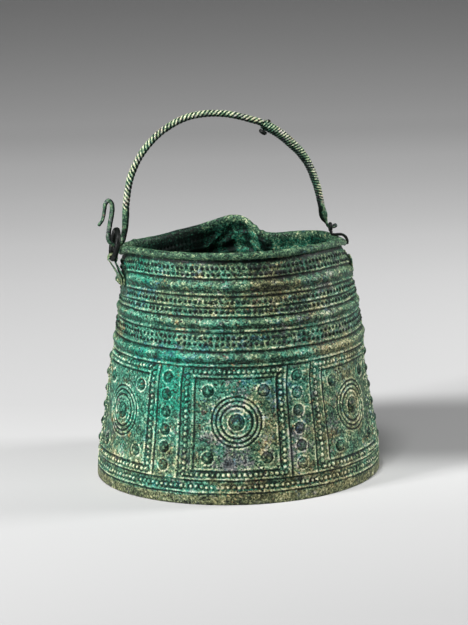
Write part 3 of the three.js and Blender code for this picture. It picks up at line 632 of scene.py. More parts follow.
def add_values(obj, name, values):
    """One number for each vertex, for the material to read."""
    attribute = obj.data.attributes.new(name, "FLOAT", "POINT")
    attribute.data.foreach_set("value", np.ascontiguousarray(values, dtype=np.float32))


def ring_of_quads(first, second, count):
    """Quads between two closed rings of the same number of vertices."""
    return [
        (first + j, first + (j + 1) % count, second + (j + 1) % count, second + j) for j in range(count)
    ]


def fine_to_coarse(fine, coarse, count):
    """Triangles from a ring of 2 x count vertices to a ring of count vertices."""
    faces = []
    for j in range(count):
        f0, f1, f2 = (fine + (2 * j + k) % (2 * count) for k in range(3))
        c0, c1 = coarse + j, coarse + (j + 1) % count
        faces += [(f0, f1, c0), (f1, c1, c0), (f1, f2, c1)]
    return faces


def tube_faces(rings, sides):
    """Faces of a row of closed rings, shut at both ends by two tips that follow the rings' points."""
    faces = []
    for i in range(rings - 1):
        faces += ring_of_quads(i * sides, (i + 1) * sides, sides)
    tip = rings * sides
    last_ring = tip - sides
    for j in range(sides):
        following = (j + 1) % sides
        faces.append((tip, following, j))
        faces.append((tip + 1, last_ring + j, last_ring + following))
    return faces


# Folds in the sunk back: angle at the rim, angle lower down, top height, lower height, depth, half width
CREASES = (
    (164, 197, 197, 168, 2.6, 7),
    (166, 184, 200, 176, -2.2, 5),
    (160, 148, 198, 165, 2.0, 6),
    (186, 214, 190, 160, 1.4, 6),
)


def crease(from_front, z):
    """How deep the folds in the sunk back of the wall are, below the sharp fold of the rim."""
    h = np.zeros_like(z)
    for top_angle, low_angle, top, low, depth, half_width in CREASES:
        t = np.clip((top - z) / (top - low), 0, 1.2)
        middle = top_angle + (low_angle - top_angle) * t
        d = wrapped(from_front - middle)
        fade = smooth(1.2 - t) * smooth((z - low + 12) / 12)
        h += depth * np.clip(1 - np.abs(d) / half_width, 0, None) ** 1.3 * fade
    return h


# Round the rim, each as angle, half width in degrees, amount: where the sunk back has flattened the
# ornament, the lumps of the torn fold, and the painted shade and painted highlight on the lip
FLATTENED = ((188, 26, 0.65),)
TORN_LUMPS = ((168.5, 2.2, 1.3), (164.5, 1.4, 1.9), (160, 1.1, 0.9), (247, 1.6, 0.9))
LIP_PAINTED_LIGHT = ((214, 24, -0.6), (172, 6, 0.35))

# Painted light and shade inside, highlights on the creases' crests and shade in their hollows: angle,
# height, half width in degrees, half height, lighter or darker
INSIDE_PAINTED_LIGHT = (
    (166, 194, 3, 8, 0.8), (159, 190, 5, 9, -1.0), (200, 176, 16, 20, -0.8), (224, 188, 20, 14, -1.0),
    (176, 176, 5, 14, 0.5), (188, 182, 4, 12, 0.4), (208, 186, 9, 6, 0.4), (138, 186, 14, 10, 0.35),
    (171, 182, 5, 5, 0.6), (172, 186, 2, 12, -0.8), (182, 172, 2.5, 14, -0.7), (170, 168, 3, 10, -0.5),
)


def swells(columns, places):
    """The sum of rounded swells round the rim."""
    total = np.zeros_like(columns)
    for angle, half_width, amount in places:
        total += amount * np.exp(-((wrapped(columns - angle) / half_width) ** 2))
    return total


def inside_tone(columns, heights):
    """Streaks down the inside, painted shade in the hollows and painted highlights on the crests of the
    creases.
    """
    at, z = np.meshgrid(columns, heights)
    tone = 0.5 * rough_noise(round_points(100, np.radians(at), z / 4), 9, 281)
    for *place, amount in INSIDE_PAINTED_LIGHT:
        tone += amount * blob(at, z, *place)
    return np.clip(tone, -1, 1)


def outer_part():
    """Positions and ornament heights of the wall's outer face, from the turned-in edge to the lip."""
    columns = np.arange(FINE_COLUMNS) * GRID_ANGLE
    rows = outer_rows()
    base_radius = WALL_OUTER_RADII[0][1]
    corner = (base_radius - BASE_CORNER_RADIUS, BASE_CORNER_RADIUS)
    low = [(base_radius - TURNED_EDGE_WIDTH - SHEET_THICKNESS / 2, 0.0)]
    low += arc_points(corner, BASE_CORNER_RADIUS, -90, 0, 3)[:-1]
    low_r, low_z = np.array(low).T[..., None]
    low_points = settled(low_r, columns[None, :], low_z)
    z = np.repeat(np.array(rows)[:, None], FINE_COLUMNS, axis=1)
    from_front = np.repeat(columns[None, :], len(rows), axis=0)
    raised, tone = relief(from_front, z)
    fade = smooth((WALL_TOP - z) / 3)
    worn = wear(from_front, z) * np.clip(z / 3, 0, 1)
    folded = crease(from_front, z)
    hollow = BASE_HOLLOW * smooth(1 - np.abs(z - BASE_BEAD_ROW) / BASE_HOLLOW_REACH)
    r = wall_radius(z) + (raised + worn - folded) * fade - hollow
    r = np.minimum(r, base_radius - 0.05 - through(LEAN_BY_HEIGHT, z))
    high_points = settled(r, from_front, z)
    plain = np.zeros((len(low), FINE_COLUMNS))
    values = {kind: np.concatenate([plain, amount]) for kind, amount in patina(from_front, z).items()}
    values["tone"] = np.concatenate([plain, tone])
    return np.concatenate([low_points, high_points]), values


def inner_part():
    """The rolled lip and the inner face, from the lip's hidden side down to the turned-in edge."""
    columns = np.arange(INNER_COLUMNS) * 2 * GRID_ANGLE
    centre = (RIM_RADIUS, RIM_HEIGHT)
    hidden = arc_points(centre, LIP_INNER_RADIUS, LIP_START_ANGLE, LIP_END_ANGLE, HIDDEN_STEPS)
    shown = arc_points(centre, LIP_OUTER_RADIUS, LIP_END_ANGLE, LIP_START_ANGLE, SHOWN_STEPS)
    heights = list(np.arange(INNER_TOP, FINE_INNER_FOOT, -FINE_INNER_STEP))
    heights += list(np.arange(FINE_INNER_FOOT, INNER_FOOT, -INNER_STEP))
    base_radius = WALL_OUTER_RADII[0][1]
    foot = [
        (base_radius - SHEET_THICKNESS - 0.4, 1.4),
        (base_radius - BASE_CORNER_RADIUS - 0.5, SHEET_THICKNESS),
        (base_radius - TURNED_EDGE_WIDTH - SHEET_THICKNESS / 2, SHEET_THICKNESS),
    ]
    rows = [settled(r, columns, z) for r, z in hidden]
    lumps = swells(columns, TORN_LUMPS)
    on_rim = round_points(RIM_RADIUS, np.radians(columns))
    for number, (r, z) in enumerate(shown):
        across = np.array([r - RIM_RADIUS, z - RIM_HEIGHT]) / LIP_OUTER_RADIUS
        lump = 0.22 * rough_noise(on_rim + [0, 0, 5 * number], 14, 31, 2)
        crust = 0.1 * value_noise(on_rim + [0, 0, 3 * number], 3, 37)
        ease = math.sin(math.pi * (number + 0.5) / len(shown))
        out = (lump + crust + lumps) * ease
        rows.append(settled(r + across[0] * out, columns, z + across[1] * out))
    for height in heights:
        z = np.full(INNER_COLUMNS, height)
        r = wall_radius(z) - SHEET_THICKNESS
        pressed = (0.9 - swells(columns, FLATTENED)) * np.clip(relief(columns, z)[0], -0.3, 3.0)
        fade = smooth((WALL_TOP - z) / 3)
        r = r + (pressed + wear(columns, z) * np.clip(z / 3, 0, 1) - crease(columns, z)) * fade
        rows.append(settled(r, columns, z))
    rows += [settled(r, columns, z) for r, z in foot]
    # Painted shade and painted highlight on the lip
    lip = np.zeros((len(shown), INNER_COLUMNS)) - 0.12 * lumps + swells(columns, LIP_PAINTED_LIGHT)
    before = np.full((len(hidden), INNER_COLUMNS), -1.0)
    after = np.zeros((len(foot), INNER_COLUMNS))
    tones = np.concatenate([before, lip, inside_tone(columns, heights), after])
    return np.stack(rows), tones


def wall_faces(outer_count, inner_count):
    """Faces of the outer rows, the inner rows, and the two seams between them."""
    faces = []
    for i in range(outer_count - 1):
        faces += ring_of_quads(i * FINE_COLUMNS, (i + 1) * FINE_COLUMNS, FINE_COLUMNS)
    inner_start = outer_count * FINE_COLUMNS
    faces += fine_to_coarse((outer_count - 1) * FINE_COLUMNS, inner_start, INNER_COLUMNS)
    for i in range(inner_count - 1):
        row = inner_start + i * INNER_COLUMNS
        faces += ring_of_quads(row, row + INNER_COLUMNS, INNER_COLUMNS)
    last_inner = inner_start + (inner_count - 1) * INNER_COLUMNS
    faces += [face[::-1] for face in fine_to_coarse(0, last_inner, INNER_COLUMNS)]
    return faces


def read_numbers(items, field):
    numbers = np.empty(len(items), int)
    items.foreach_get(field, numbers)
    return numbers


def lay_out_wall_map(mesh, outer_count, inner_count):
    """A flat map of the wall: round it across, from the outer foot over the lip to the inner foot up."""
    fine_vertices = outer_count * FINE_COLUMNS
    total = outer_count + inner_count
    index = read_numbers(mesh.loops, "vertex_index")
    start = read_numbers(mesh.polygons, "loop_start")
    size = read_numbers(mesh.polygons, "loop_total")
    fine = index < fine_vertices
    inner = index - fine_vertices
    u = np.where(fine, index % FINE_COLUMNS, 2 * (inner % INNER_COLUMNS)) / FINE_COLUMNS
    row = np.where(fine, index // FINE_COLUMNS, outer_count + inner // INNER_COLUMNS)
    v = row / total
    face = np.repeat(np.arange(len(size)), size)
    top_u = np.maximum.reduceat(u, start)[face]
    u = np.where((top_u > 0.9) & (u < 0.1), u + 1, u)
    top_v = np.maximum.reduceat(v, start)[face]
    v = np.where((top_v > 0.9) & (v < 0.1), 1.0, v)
    uv = (np.stack([u, v], axis=-1) + MAP_MARGIN) / (1 + 2 * MAP_MARGIN)
    layer = mesh.uv_layers.new(name="OFBake")
    layer.data.foreach_set("uv", uv.ravel())


def build_wall():
    outer, values = outer_part()
    inner, inner_tones = inner_part()
    vertices = np.concatenate([outer.reshape(-1, 3), inner.reshape(-1, 3)])
    faces = wall_faces(len(outer), len(inner))
    wall = make_object("wall_skin", vertices, faces)
    inner_rows = np.repeat(np.arange(inner.shape[0]), INNER_COLUMNS)
    past_lip = inner_rows > HIDDEN_STEPS + SHOWN_STEPS + 1
    count = outer[..., 0].size
    for name, amount in values.items():
        if name == "tone":
            rest = inner_tones.ravel()
        else:
            rest = np.where(past_lip, PATINA_INSIDE.get(name, 0.0), PATINA_ON_LIP)
        add_values(wall, name, np.concatenate([amount.ravel(), rest]))
    add_values(wall, "inside", np.concatenate([np.zeros(count), past_lip.astype(float)]))
    lay_out_wall_map(wall.data, len(outer), len(inner))
    return wall


# Lines and swept rods

POINTS_PER_SPAN = 16


def lengths_between(points):
    return np.linalg.norm(np.diff(points, axis=0), axis=1)


def blend(t, low, high, first, second):
    """first where t is low, second where t is high."""
    return ((high - t) * first + (t - low) * second) / (high - low)


def smooth_line(points):
    """A smooth line through points, as many close points."""
    p = np.array(points, float)
    p = np.concatenate([[2 * p[0] - p[1]], p, [2 * p[-1] - p[-2]]])
    line = []
    for i in range(1, len(p) - 2):
        a, b, c, d = p[i - 1 : i + 3]
        t1, t2, t3 = np.sqrt(lengths_between(p[i - 1 : i + 3])).cumsum()
        t = np.linspace(t1, t2, POINTS_PER_SPAN, endpoint=False)[:, None]
        middle = blend(t, t1, t2, b, c)
        before = blend(t, 0, t2, blend(t, 0, t1, a, b), middle)
        after = blend(t, t1, t3, middle, blend(t, t2, t3, c, d))
        line.append(blend(t, t1, t2, before, after))
    line.append(p[-2][None, :])
    return np.concatenate(line)


def lengths_along(line):
    return np.concatenate([[0], np.cumsum(lengths_between(line))])


def at_length(line, lengths, s):
    return np.stack([np.interp(s, lengths, line[:, k]) for k in range(3)], axis=-1)


def carried_frames(tangents, first_side):
    """Side directions that turn as little as they can along the line."""
    sides = []
    side = np.array(first_side, float)
    for t in tangents:
        side = side - t * np.dot(side, t)
        side /= np.linalg.norm(side)
        sides.append(side)
    return np.array(sides)


CAP_ANGLES = np.radians([25, 50, 72])
FIRST_SIDE = (1, 0, 0)
# Painted shade on the side of a rod that faces the middle of the arch: where it starts, and over how much it
# fades in
PAINTED_SHADE_START = 0.05
PAINTED_SHADE_FADE = 0.5


def sweep(name, line, step, sides, section, round_ends=(True, True), painted_shade=0):
    """A closed rod. section(s, centre, alpha) gives how far the surface is from the line in two
    directions, and how light it is. The last argument is painted shade: it darkens the side that faces the
    middle of the arch."""
    lengths = lengths_along(line)
    count = max(8, int(lengths[-1] / step))
    s = np.linspace(0, lengths[-1], count + 1)
    centre = at_length(line, lengths, s)
    tangent = np.gradient(centre, axis=0)
    tangent /= np.linalg.norm(tangent, axis=1)[:, None]
    u = carried_frames(tangent, FIRST_SIDE)
    v = np.cross(tangent, u)
    alpha = np.linspace(0, 2 * np.pi, sides, endpoint=False)
    grid_s, grid_a = np.meshgrid(s, alpha, indexing="ij")
    across, deep, tone = section(grid_s, centre[:, None, :] + 0 * grid_a[..., None], grid_a)
    rings = centre[:, None, :] + across[..., None] * u[:, None, :] + deep[..., None] * v[:, None, :]
    inward = np.array(ARCH_MIDDLE) - centre
    inward /= np.linalg.norm(inward, axis=1)[:, None]
    facing = np.cos(grid_a) * (u * inward).sum(1)[:, None] + np.sin(grid_a) * (v * inward).sum(1)[:, None]
    # Painted shade on the side that faces the middle of the arch
    tone = tone - painted_shade * smooth((facing - PAINTED_SHADE_START) / PAINTED_SHADE_FADE)

    def cap(end, direction):
        middle = centre[end]
        ring = rings[end]
        depth = 0.8 * np.linalg.norm(ring - middle, axis=1).mean()
        out = tangent[end] * direction
        made = [middle + (ring - middle) * math.cos(q) + out * depth * math.sin(q) for q in CAP_ANGLES]
        return made, middle + out * depth

    grids = list(rings)
    tones = list(tone)
    first_tip = centre[0]
    last_tip = centre[-1]
    if round_ends[0]:
        made, first_tip = cap(0, -1)
        grids = made[::-1] + grids
        tones = [tone[0]] * len(made) + tones
    if round_ends[1]:
        made, last_tip = cap(-1, 1)
        grids = grids + made
        tones = tones + [tone[-1]] * len(made)
    vertices = np.concatenate([np.concatenate(grids), [first_tip], [last_tip]])
    rod = make_object(name, vertices, tube_faces(len(grids), sides))
    add_values(rod, "tone", np.concatenate([np.ravel(tones), [0, 0]]))
    return rod


# Bail. Its lines follow the solids' lines: x, height above the rim.

BAIL_RADIUS = 3
HOOK_ROD_RADIUS = 2.3
HOOK_BEND_RADIUS = 6.4
HOOK_BOTTOM = (-99.2, 199.5)
HOOK_TAPER_HEIGHT = 26
HOOK_STEPS = 6
FLUTES = 5
FLUTE_DEPTH = 0.12
GROOVE_IN_ROD = 0.8
GROOVE_IN_MEND_ROD = 0.75
ARCH_MIDDLE = (0, 0, RIM_HEIGHT + 20)
# How dark the painted shade on the inner side of the bail's arch is
ROD_PAINTED_SHADE = 1.1
ARCH_POINTS = [
    (-91.4, 11.7), (-90.4, 21.7), (-89.6, 32.6), (-87.7, 44.5), (-85.1, 54.9), (-81.5, 63.6),
    (-76.6, 72.3), (-70.4, 80.2), (-62.6, 88), (-54.1, 94.2), (-44.1, 99.6), (-33.4, 103.2),
    (-22.8, 104.6), (-12.2, 104.6), (-1.6, 103.5), (9, 101), (19.6, 97.6),
]
SWAN_NECK_POINTS = [
    # x beyond the hook's outer leg, height above the rim
    (0.3, 8.7), (1.2, 13.7), (2.4, 19.2), (3.5, 24.7), (4.2, 30.2), (3.5, 34.6), (1.1, 36.6),
    (-1.3, 34.3), (-2.4, 29.5), (-3.2, 24.7), (-4.8, 19.9), (-7.5, 16.5),
]
LEG_RADIUS = 2.1
TIP_RADIUS = 1.4
TIP_SHARE = 0.14
LAP_POINT = (28.2, 94)
LAP_SLOPE = -31
LAP_SPACING = 0.9
TENON_ROOT = 3
TENON_LENGTH = 8
LAP_ROD_RADIUS = 4.3
MIDDLE_ROD_RADIUS = 3.6
END_ROD_RADIUS = 3
MEND_TAPER_HEIGHT = 30
MEND_POINTS = [
    (43.9, 83.9), (52.9, 75.8), (60.4, 67.9), (65.7, 60), (69.4, 52.2), (72.7, 42.9), (75.3, 33.6),
    (77, 24.4), (78.6, 15.9), (79.9, 10.6), (81.4, 7.4),
]
STRAP_HALF_WIDTH = 3.6
STRAP_HALF_THICKNESS = 1.6
STRAP_START = 21.7
STRAP_WIDE = 13.7
STRAP_END = 5.5
SMALL_HOOK = (85, 203.2)
SMALL_HOOK_BEND = 2.7
SMALL_HOOK_ROD = 1.2
SMALL_HOOK_ARC = (205, 290, 3)
STUB_RADIUS = 1.9
STUB_POINTS = [(2.6, 0.3), (4.6, 1.1)]
TWIST_START = 24
TWIST_PITCH = 14.6
TWIST_RIDGES = 4
MEND_TWIST_PITCH = 9.6
MEND_TWIST_END = 24
LINK_WIRE_RADIUS = 1.3
LINK_EYE_CLEARANCE = 0.4
LINK_EYE_ARC = (235, 510, 25)
LINK_STRAND = [
    # x beyond the rim, y, height above the rim
    (-8.9, 0.9, -1.1), (-8.8, 0.3, -2.3), (-7.8, 0, -3.6), (-5.6, 0, -3.9), (-2, 0, -3.8),
    (1, 0, -4.4), (3.6, 0, -6.4), (4.8, 0, -9.1), (4.8, 0, -11.8),
]


def upright(points, x0=0, z0=RIM_HEIGHT):
    """Points (x, height) in the bail's plane, measured from (x0, z0)."""
    return [(x0 + x, 0, z0 + z) for x, z in points]


def straight_at_lap(side, run):
    """Points that keep the end of a rod straight at the lap."""
    slope = math.radians(LAP_SLOPE)
    distances = (side * LAP_SPACING / 2, side * run / 2, side * run)
    points = [
        (LAP_POINT[0] + d * math.cos(slope), LAP_POINT[1] + d * math.sin(slope)) for d in distances
    ]
    return upright(points)


def twisted(alpha, s, pitch, ridges):
    """1 on the ridges of a square bar twisted to the left, 0 in the grooves between."""
    turn = ridges / 2 * (alpha + 2 * np.pi * s / pitch)
    return np.abs(np.cos(turn)) ** 0.8


def twist_tone(on_twist, ridge, plain):
    """Painted highlights on the ridges and painted shade in the grooves where a rod is twisted, one tone
    where it is plain.
    """
    return on_twist * (2.4 * ridge - 1.3) + plain * (1 - on_twist)


def build_main_rod():
    """The twisted rod with its swan neck, its plain U and its arch up to the lap."""
    outer_leg = HOOK_BOTTOM[0] - HOOK_BEND_RADIUS
    neck = upright(SWAN_NECK_POINTS, outer_leg)
    centre = (HOOK_BOTTOM[0], HOOK_BOTTOM[1] + HOOK_BEND_RADIUS)
    hook = upright(arc_points(centre, HOOK_BEND_RADIUS, -180, 0, HOOK_STEPS), 0, 0)
    lap = straight_at_lap(-1, TENON_ROOT)
    line = smooth_line(neck[::-1] + hook + upright(ARCH_POINTS) + lap[::-1])
    neck_length = TIP_SHARE * lengths_along(line)[-1]

    def section(s, centre_points, alpha):
        x = centre_points[..., 0]
        z = centre_points[..., 2]
        on_neck = x < HOOK_BOTTOM[0]
        tip = TIP_RADIUS + (LEG_RADIUS - TIP_RADIUS) * smooth(s / neck_length)
        rise = smooth((z - HOOK_BOTTOM[1]) / HOOK_TAPER_HEIGHT)
        radius = np.where(on_neck, tip, HOOK_ROD_RADIUS + (BAIL_RADIUS - HOOK_ROD_RADIUS) * rise)
        start = smooth((z - RIM_HEIGHT - TWIST_START) / 8) * (~on_neck)
        ridge = twisted(alpha, s, TWIST_PITCH, TWIST_RIDGES)
        points = centre_points + round_points(3, alpha)
        worn = 0.09 * value_noise(points, 1.6, 51) + 0.12 * value_noise(points, 5, 53)
        flutes = FLUTE_DEPTH * (1 - start) * np.cos(FLUTES * alpha + s / 9)
        r = np.minimum(radius - GROOVE_IN_ROD * start * (1 - ridge) + worn + flutes, radius - 0.02)
        return r * np.cos(alpha), r * np.sin(alpha), twist_tone(start, ridge, 0.2)

    return sweep("bail_rod", line, 0.5, 28, section, (True, False), ROD_PAINTED_SHADE)


def build_mend_rod():
    """The finely twisted rod from the lap to the strap, the small hook and its stub."""
    hook_centre = (SMALL_HOOK[0], SMALL_HOOK[1] + SMALL_HOOK_BEND)
    hook = upright(arc_points(hook_centre, SMALL_HOOK_BEND, *SMALL_HOOK_ARC), 0, 0)
    stub = upright(STUB_POINTS, *SMALL_HOOK)
    line = smooth_line(straight_at_lap(1, TENON_LENGTH) + upright(MEND_POINTS) + hook + stub)

    def section(s, centre_points, alpha):
        past = centre_points[..., 0] > SMALL_HOOK[0]
        above = centre_points[..., 2] - RIM_HEIGHT
        thick = (
            END_ROD_RADIUS
            + (MIDDLE_ROD_RADIUS - END_ROD_RADIUS) * smooth((above - STRAP_START) / MEND_TAPER_HEIGHT)
            + (LAP_ROD_RADIUS - MIDDLE_ROD_RADIUS)
            * smooth((above - STRAP_START - MEND_TAPER_HEIGHT) / MEND_TAPER_HEIGHT)
        )
        to_strap = 1 - smooth((above - STRAP_WIDE) / (STRAP_START - STRAP_WIDE))
        to_hook = 1 - smooth((above - STRAP_END) / (STRAP_WIDE - STRAP_END))
        wide = thick + (STRAP_HALF_WIDTH - thick) * to_strap
        deep = thick + (STRAP_HALF_THICKNESS - thick) * to_strap
        wide = wide + (SMALL_HOOK_ROD - wide) * to_hook
        deep = deep + (SMALL_HOOK_ROD - deep) * to_hook
        stub_share = smooth((centre_points[..., 0] - SMALL_HOOK[0] - LINK_WIRE_RADIUS) / STUB_RADIUS)
        stub_rod = SMALL_HOOK_ROD + (STUB_RADIUS - SMALL_HOOK_ROD) * stub_share
        wide = np.where(past, stub_rod, wide)
        deep = np.where(past, stub_rod, deep)
        on_twist = smooth((above - MEND_TWIST_END) / 4) * (~past)
        ridge = twisted(alpha, s, MEND_TWIST_PITCH, TWIST_RIDGES)
        groove = GROOVE_IN_MEND_ROD * on_twist * (1 - ridge)
        points = centre_points + round_points(4, alpha)
        worn = 0.08 * value_noise(points, 1.5, 61) + 0.12 * value_noise(points, 6, 63)
        worn = np.where(past, np.minimum(worn, 0), worn)
        tone = twist_tone(on_twist, ridge, 0.3)
        return (wide - groove + worn) * np.cos(alpha), (deep - groove + worn) * np.sin(alpha), tone

    return sweep("bail_mend_rod", line, 0.42, 28, section, (False, True), ROD_PAINTED_SHADE)


def build_link():
    """The bent wire round the small hook, with its strand over the rim."""
    eye_radius = SMALL_HOOK_ROD + LINK_EYE_CLEARANCE + LINK_WIRE_RADIUS
    start, end, step = LINK_EYE_ARC
    eye = []
    for a in range(start, end + 1, step):
        y = eye_radius * math.sin(math.radians(a))
        z = SMALL_HOOK[1] + eye_radius * math.cos(math.radians(a))
        eye.append((SMALL_HOOK[0], y, z))
    strand = [(RIM_RADIUS + x, y, RIM_HEIGHT + z) for x, y, z in LINK_STRAND]
    line = smooth_line(eye + strand)

    def section(s, centre_points, alpha):
        points = centre_points + round_points(1, alpha)
        r = LINK_WIRE_RADIUS + 0.1 * value_noise(points, 1.7, 71) + 0.08 * value_noise(points, 0.8, 73)
        return r * np.cos(alpha), r * np.sin(alpha), 0 * s

    return sweep("link_wire", line, 0.35, 16, section)


# Ring

RING_RADIUS = 12
RING_WIRE_RADIUS = 2.4
RING_CENTRE = (-100.4, 0, 199.8)
RING_LEAN = 11
RING_STEPS = 96
RING_SIDES = 20


def build_ring():
    """The thick round ring in the left lug's eye."""
    big = np.linspace(0, 2 * np.pi, RING_STEPS, endpoint=False)
    small = np.linspace(0, 2 * np.pi, RING_SIDES, endpoint=False)
    a, b = np.meshgrid(big, small, indexing="ij")
    seed_points = round_points(RING_RADIUS, a, 3 * np.cos(b))
    worn = 0.16 * value_noise(seed_points, 5, 81) + 0.09 * value_noise(seed_points, 1.6, 83)
    r = RING_WIRE_RADIUS + worn
    out = RING_RADIUS + r * np.cos(b)
    flat = xyz(r * np.sin(b), out * np.cos(a), out * np.sin(a))
    turn = Matrix.Rotation(math.radians(RING_LEAN), 3, "Y")
    points = flat.reshape(-1, 3) @ np.array(turn).T + np.array(RING_CENTRE)
    faces = []
    for i in range(RING_STEPS):
        for j in range(RING_SIDES):
            p = i * RING_SIDES + j
            q = i * RING_SIDES + (j + 1) % RING_SIDES
            n = (i + 1) % RING_STEPS * RING_SIDES
            faces.append((p, n + j, n + (j + 1) % RING_SIDES, q))
    return make_object("ring_worn", points, faces)


# Base

BASE_PLAY = 1.4
BASE_FLANGE = 6
BASE_THICKNESS = 1
BASE_BEND = 1.2
BASE_RINGS = 40
BASE_SEGMENTS = 180


def build_base():
    """The pan in the foot, with a hammered floor and a low flange."""
    rest = SHEET_THICKNESS + GAP
    top = rest + BASE_THICKNESS
    reach = WALL_OUTER_RADII[0][1] - SHEET_THICKNESS - GAP - BASE_PLAY
    inner = reach - BASE_THICKNESS
    outline = [(r, rest) for r in np.linspace(0, reach - BASE_BEND, BASE_RINGS)]
    outline += [(reach - 0.35, rest + 0.35), (reach, rest + BASE_BEND), (reach, rest + BASE_FLANGE)]
    outline += [(inner, rest + BASE_FLANGE), (inner, top + BASE_BEND)]
    outline += [(r, top) for r in np.linspace(inner - BASE_BEND, 0, BASE_RINGS)]
    theta = np.linspace(0, 2 * np.pi, BASE_SEGMENTS, endpoint=False)
    rings = []
    for r, z in outline[1:-1]:
        points = round_points(r, theta)
        marks = 0.22 * rough_noise(points, 16, 91, 2) + 0.05 * value_noise(points, 2.5, 93)
        rings.append(round_points(r, theta, z + marks * (r < reach - 3)))
    vertices = np.concatenate(rings + [[[0, 0, rest]], [[0, 0, top]]])
    return make_object("base_pan", vertices, tube_faces(len(rings), BASE_SEGMENTS))


# Small forged pieces, worn down from their solids


# The finer mesh's cell, the rounds of smoothing and the depth of the crust, for each kind
PIN_FINISH = (0.25, 1, 0.12)
LUG_FINISH = (0.28, 2, 0.09)
RIVET_FINISH = (0.2, 3, 0.05)


def forged(node, name, finish, seed):
    """A worn, rounded copy of a small solid, with a finer mesh."""
    voxel, smoothing, roughness = finish
    obj = placed(name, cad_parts[node].data.copy())
    obj.data.materials.clear()
    remesh = obj.modifiers.new("remesh", "REMESH")
    remesh.mode = "VOXEL"
    remesh.voxel_size = voxel * MM
    relax = obj.modifiers.new("relax", "SMOOTH")
    relax.iterations = smoothing
    relax.factor = 0.5
    graph = bpy.context.evaluated_depsgraph_get()
    mesh = bpy.data.meshes.new_from_object(obj.evaluated_get(graph))
    obj.modifiers.clear()
    obj.data = mesh
    points, normals = np.empty((2, len(mesh.vertices), 3))
    mesh.vertices.foreach_get("co", points.ravel())
    mesh.vertices.foreach_get("normal", normals.ravel())
    points /= MM
    points += normals * roughness * rough_noise(points, 2.4, seed, 2)[:, None]
    mesh.vertices.foreach_set("co", (points * MM).ravel())
    mesh.polygons.foreach_set("use_smooth", [True] * len(mesh.polygons))
    mesh.update()
    return obj


# Patina. Each list gives colours as they look on a screen, from the darkest grain to the palest.

GREEN = [(0, (7, 18, 14)), (0.26, (26, 54, 42)), (0.5, (64, 100, 76)), (0.72, (110, 142, 106)),
         (0.88, (178, 190, 146)), (1, (224, 224, 190))]
TURQUOISE = [(0, (6, 24, 20)), (0.26, (18, 70, 56)), (0.5, (56, 124, 102)), (0.74, (96, 164, 138)),
             (0.9, (160, 202, 170)), (1, (226, 230, 208))]
JADE = [(0, (2, 24, 20)), (0.26, (6, 72, 58)), (0.5, (24, 124, 100)), (0.75, (46, 158, 132)),
        (0.92, (86, 188, 160)), (1, (170, 218, 190))]
MAUVE = [(0, (20, 19, 24)), (0.26, (56, 58, 64)), (0.5, (102, 103, 106)), (0.75, (152, 147, 146)),
         (1, (214, 206, 198))]
BLUE = [(0, (6, 20, 30)), (0.26, (20, 62, 84)), (0.5, (50, 108, 134)), (0.75, (106, 160, 176)),
        (1, (190, 214, 212))]
OLIVE = [(0, (14, 17, 11)), (0.26, (56, 58, 36)), (0.5, (102, 102, 70)), (0.75, (156, 150, 106)),
         (1, (218, 210, 168))]
TAN = [(0, (28, 20, 14)), (0.26, (88, 62, 38)), (0.5, (146, 112, 70)), (0.75, (192, 164, 112)),
       (1, (228, 214, 170))]
PITTED = [(0, (8, 10, 8)), (0.3, (26, 28, 20)), (0.5, (54, 54, 40)), (0.75, (104, 104, 78)),
          (1, (190, 184, 150))]
BLACK = [(0, (6, 9, 8)), (0.4, (14, 19, 16)), (0.7, (34, 44, 38)), (1, (92, 106, 92))]


def colour(red, green, blue):
    """A colour as it looks on a screen, 0 to 255, turned into the linear values that shaders take."""
    linear = []
    for value in (red, green, blue):
        v = value / 255
        linear.append(v / 12.92 if v <= 0.04045 else ((v + 0.055) / 1.055) ** 2.4)
    return (*linear, 1)


# How much white light the crust mirrors; a polished surface would have 0.5
SHINE = 0.2
NOISE_ROUGHNESS = 0.6
PIT_COLOUR = (14, 22, 17)


